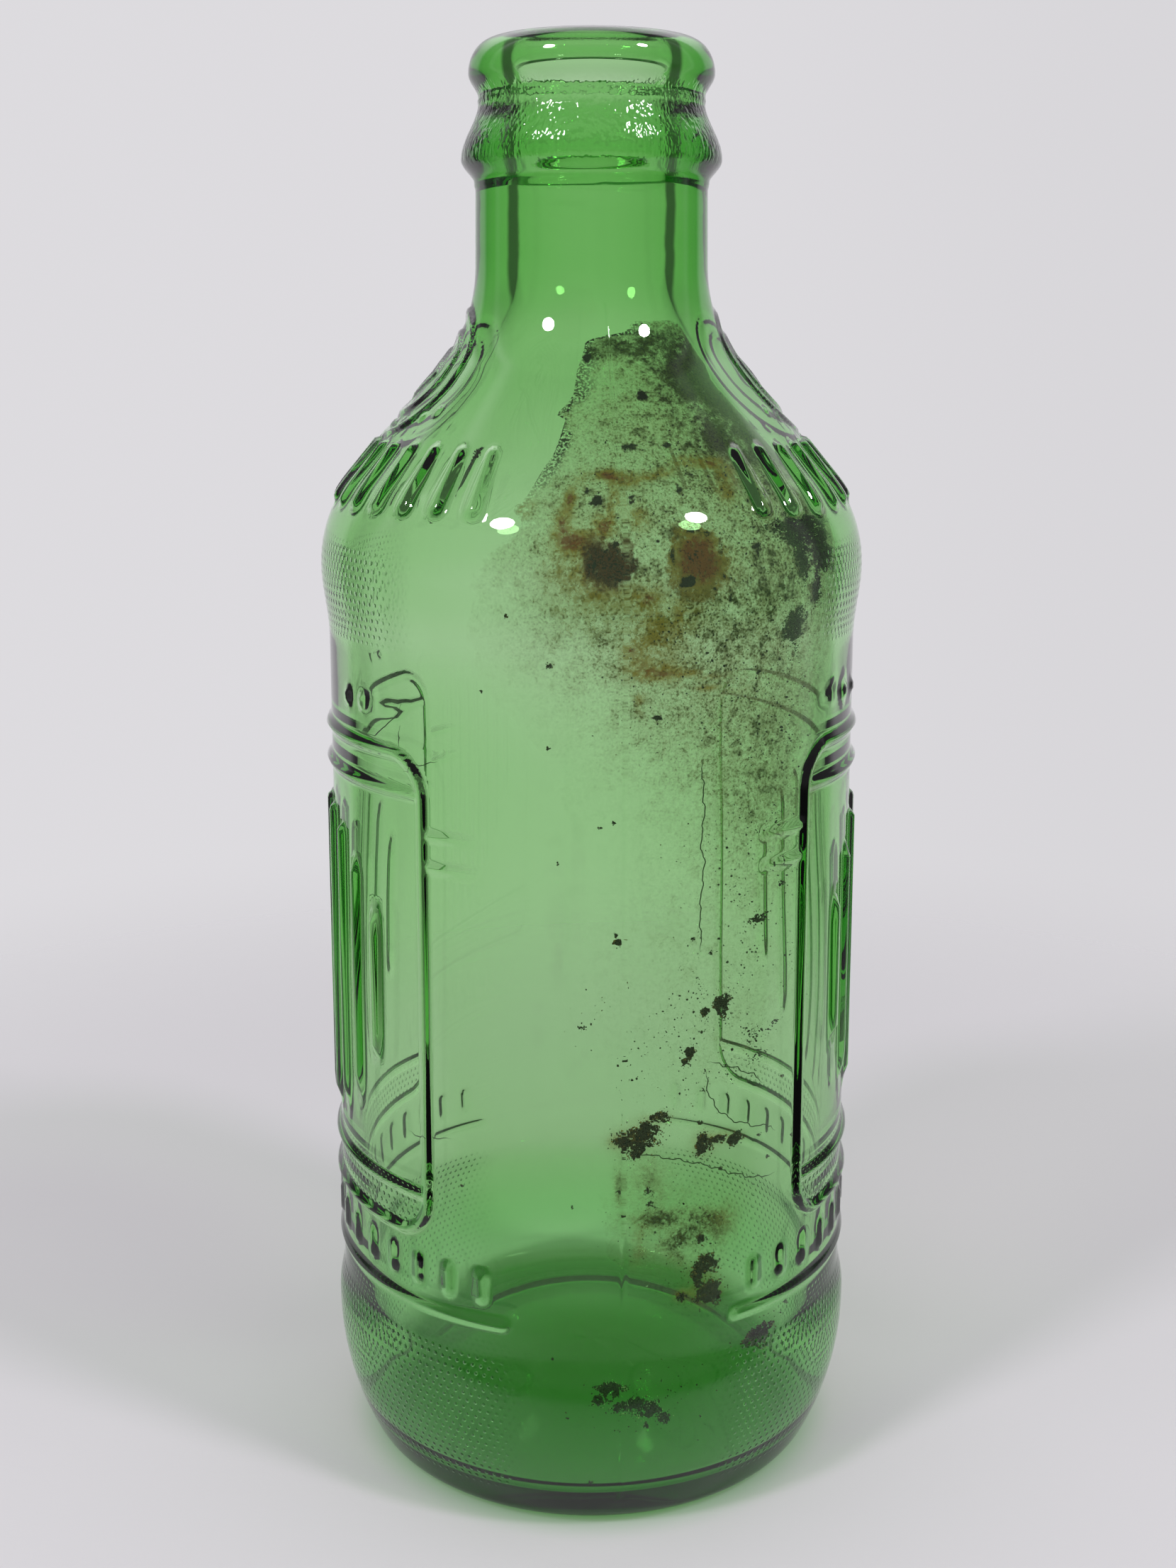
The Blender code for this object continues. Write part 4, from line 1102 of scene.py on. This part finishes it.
class BOTTLE_OT_grit(Operator):
    """Make the fine grit and the thin dried rootlets on the inner wall"""
    bl_idname = "bottle.grit"
    bl_label = "Grit"

    def execute(self, context):
        wall, gap = context.scene.bottle_wall, context.scene.bottle_deposits.crumb_clearance
        # Spots, number of crumbs, smallest and largest radius, seed, layers, rings and sides of a crumb
        clouds = [([spot], 4 + round(150 * spot[2] * spot[3]), 0.06, 0.17, seed, 0.5, 3, 6)
                  for seed, spot in enumerate(LONE_SPECKS)]
        clouds += [(DENSE_GRIT, 150, 0.05, 0.16, 101, 0.0, 2, 5),
                   (THIN_GRIT, 2200, 0.03, 0.12, 102, 0.0, 2, 5),
                   (THIN_GRIT, 480, 0.07, 0.18, 103, 0.0, 2, 5)]
        grit = joined([crumb_cloud(wall, gap, *cloud) for cloud in clouds])
        threads = joined([thread_tube(wall, gap, stops, 0.055 * MM) for stops in THREADS])
        for name, (points, faces, values), slot, colours in (
                ("dried_mud_grit", grit, "dried_mud", ("14120C", "3C3420", "6E5A30")),
                ("dried_rootlets", threads, "dried_moss", ("1E2A14", "2E3A1E", "3A4526"))):
            make_piece(name, points, faces, crumb_material(name, *colours), None, values)
        return {"FINISHED"}


class BOTTLE_OT_stage(Operator):
    """Make the paper floor, the lamps, the world and the camera"""
    bl_idname = "bottle.stage"
    bl_label = "Stage"

    def execute(self, context):
        make_floor(context.scene.bottle_finish)
        make_world()
        make_lamps()
        make_camera()
        context.scene.view_settings.view_transform = "Standard"
        return {"FINISHED"}


def paper(finish):
    """Matt white paper: flat, with no gloss, and a faint tooth. Under the bottle its colour is
    blended towards green: painted shade and painted green light, for the bottle's shade and the
    light that has passed the glass. It thins out to nothing at its rim,
    and for reflections in front of the bottle, where the world's own pale tone takes over."""
    material, add = new_material("matt_paper")
    place = add("TexCoord").outputs["Object"]
    tooth = add("TexNoise", place, 1 / (1.11 * MM), 2.0)
    away = add("VectorMath LENGTH", place)
    # Painted shade and painted green light: within 22 to 31 mm of the axis the paper's colour is blended
    # towards green
    under = add("spread", away, 22 * MM, 31 * MM, 0.65, 0.0)
    sheet = add("BsdfPrincipled", named={
        "Base Color": add("blend", under, linear(finish.floor), linear("36B238")), "Roughness": 0.9,
        "Specular IOR Level": 0.1, "Normal": add("Bump", named={"Height": tooth, "Distance": 0.02 * MM})})
    depth = add("SeparateXYZ", place).outputs["Y"]
    front = add("times", add("LightPath").outputs["Is Glossy Ray"], add("spread", depth, -36 * MM, -80 * MM))
    gone = add("greatest", add("spread", away, 110 * MM, 270 * MM), front)
    add("OutputMaterial", add("MixShader", gone, sheet, add("BsdfTransparent")))
    return material


def make_floor(finish):
    """A round sheet on the ground: a grid of rings whose radius grows as the square."""
    rings, sides, reach = 24, 64, 2.4
    radius = reach * (np.arange(1, rings + 1)[:, None] / rings) ** 2
    grid = at(np.linspace(0, 360, sides, endpoint=False), radius, 0.0)
    faces = fan(0, np.arange(sides) + 1).tolist() + band_faces(1, rings, sides)[:, ::-1].tolist()
    points = np.vstack([[[0, 0, 0]], grid.reshape(-1, 3)])
    make_mesh("paper_floor", points, faces, paper(finish))


def make_world():
    """A pale room: light at eye level, dimmer overhead, with a dark gap on each side of the
    light wall, which gives the glass its dark lines. What the outside of the glass
    reflects has a bright ceiling and a dim wall behind the camera."""
    world = bpy.data.worlds.new("pale_room")
    bpy.context.scene.world = world
    world.use_nodes = True
    world.node_tree.nodes.clear()
    add = partial(add_node, world.node_tree)
    x, y, z = add("SeparateXYZ", add("TexCoord").outputs["Generated"]).outputs
    light_middle, gap_aside, gap_core, gap_edge, front_start, front_end = np.radians((6.5, 62, 6, 15, 66, 84))
    turn = add("Math ARCTAN2", x, y)
    aside = add("Math ABSOLUTE", add("plus", turn, -light_middle))
    from_gap = add("Math ABSOLUTE", add("plus", aside, -gap_aside))
    gap = add("spread", from_gap, gap_core, gap_edge, 0.22, 1.0)
    level = add("times", add("spread", z, 0.20, 0.62, 0.735, 0.615),
                add("spread", turn, 0.10, 0.40, 1.0, 0.955))
    path = add("LightPath").outputs
    reflected = add("times", path["Is Glossy Ray"], add("Math SUBTRACT", 1.0, path["Is Transmission Ray"]))
    ceiling = add("times_plus", add("spread", z, 0.30, 0.70, 0.0, 1.5), add("spread", y, 0.05, 0.35), 0.74)
    low = add("times", add("spread", z, 0.0, -0.25), add("spread", y, 0.0, -0.3))
    front = add("times", add("spread", aside, front_start, front_end, 1.0, 0.34),
                add("times_plus", low, -0.7, 1.0))
    light = add("times", gap, add("Mix FLOAT", reflected, 1.0, front),
                add("Mix FLOAT", reflected, level, ceiling))
    add("OutputWorld", add("Background", linear("FDFBFF"), light))


def make_lamps():
    """Two small round lamps in front of the bottle, left and right, above the camera."""
    aim = Vector((0, 0, 0.08))
    for name, azimuth, elevation, away, power in (("lamp_left", -52, 46, 0.55, 0.80),
                                                  ("lamp_right", 50, 48, 0.60, 0.95)):
        rise = math.radians(elevation)
        back = Vector(at(azimuth, math.cos(rise), math.sin(rise)))
        data = bpy.data.lights.new(name, "AREA")
        data.shape = "DISK"
        data.size = 0.085
        data.energy = power
        lamp = place_object(name, data)
        lamp.location = aim + back * away
        lamp.rotation_euler = back.to_track_quat("Z", "Y").to_euler()


def make_camera():
    """The photograph's camera: 13.7 degrees down, 0.21 m from the bottle's axis."""
    data = bpy.data.cameras.new("camera")
    data.sensor_width = 36.0
    data.lens = 43.13
    data.clip_start = 0.005
    camera = place_object("camera", data)
    camera.location = (-0.0247, -0.2133, 0.1323)
    camera.rotation_euler = (math.radians(76.28), 0.0, math.radians(-6.5))
    bpy.context.scene.camera = camera


class BOTTLE_PT_finish(Panel):
    """Sidebar panel that lists the bottle's pieces"""
    bl_label = "Bottle"
    bl_idname = "BOTTLE_PT_finish"
    bl_space_type = "VIEW_3D"
    bl_region_type = "UI"
    bl_category = "Bottle"

    def draw(self, context):
        for operator in OPERATORS:
            self.layout.operator(operator.bl_idname)


OPERATORS = (BOTTLE_OT_glass, BOTTLE_OT_films, BOTTLE_OT_clumps, BOTTLE_OT_grit, BOTTLE_OT_stage)
SETTINGS = {"bottle_wall": BottleWall, "bottle_moulding": BottleMoulding,
            "bottle_deposits": BottleDeposits, "bottle_finish": BottleFinish}
CLASSES = (*SETTINGS.values(), *OPERATORS, BOTTLE_PT_finish)


def register():
    """Names each setting after its key, registers the classes and hangs the settings on the scene."""
    for group in SETTINGS.values():
        for key, setting in group.__annotations__.items():
            setting.keywords["name"] = key.replace("_", " ").capitalize()
    for item in CLASSES:
        bpy.utils.register_class(item)
    for name, group in SETTINGS.items():
        setattr(bpy.types.Scene, name, PointerProperty(type=group))


def unregister():
    """Removes the settings and the classes."""
    for name in SETTINGS:
        delattr(bpy.types.Scene, name)
    for item in reversed(CLASSES):
        bpy.utils.unregister_class(item)


def main():
    """Builds every piece and the stage."""
    register()
    for operator in OPERATORS:
        group, name = operator.bl_idname.split(".")
        getattr(getattr(bpy.ops, group), name)()


if __name__ == "__main__":
    main()
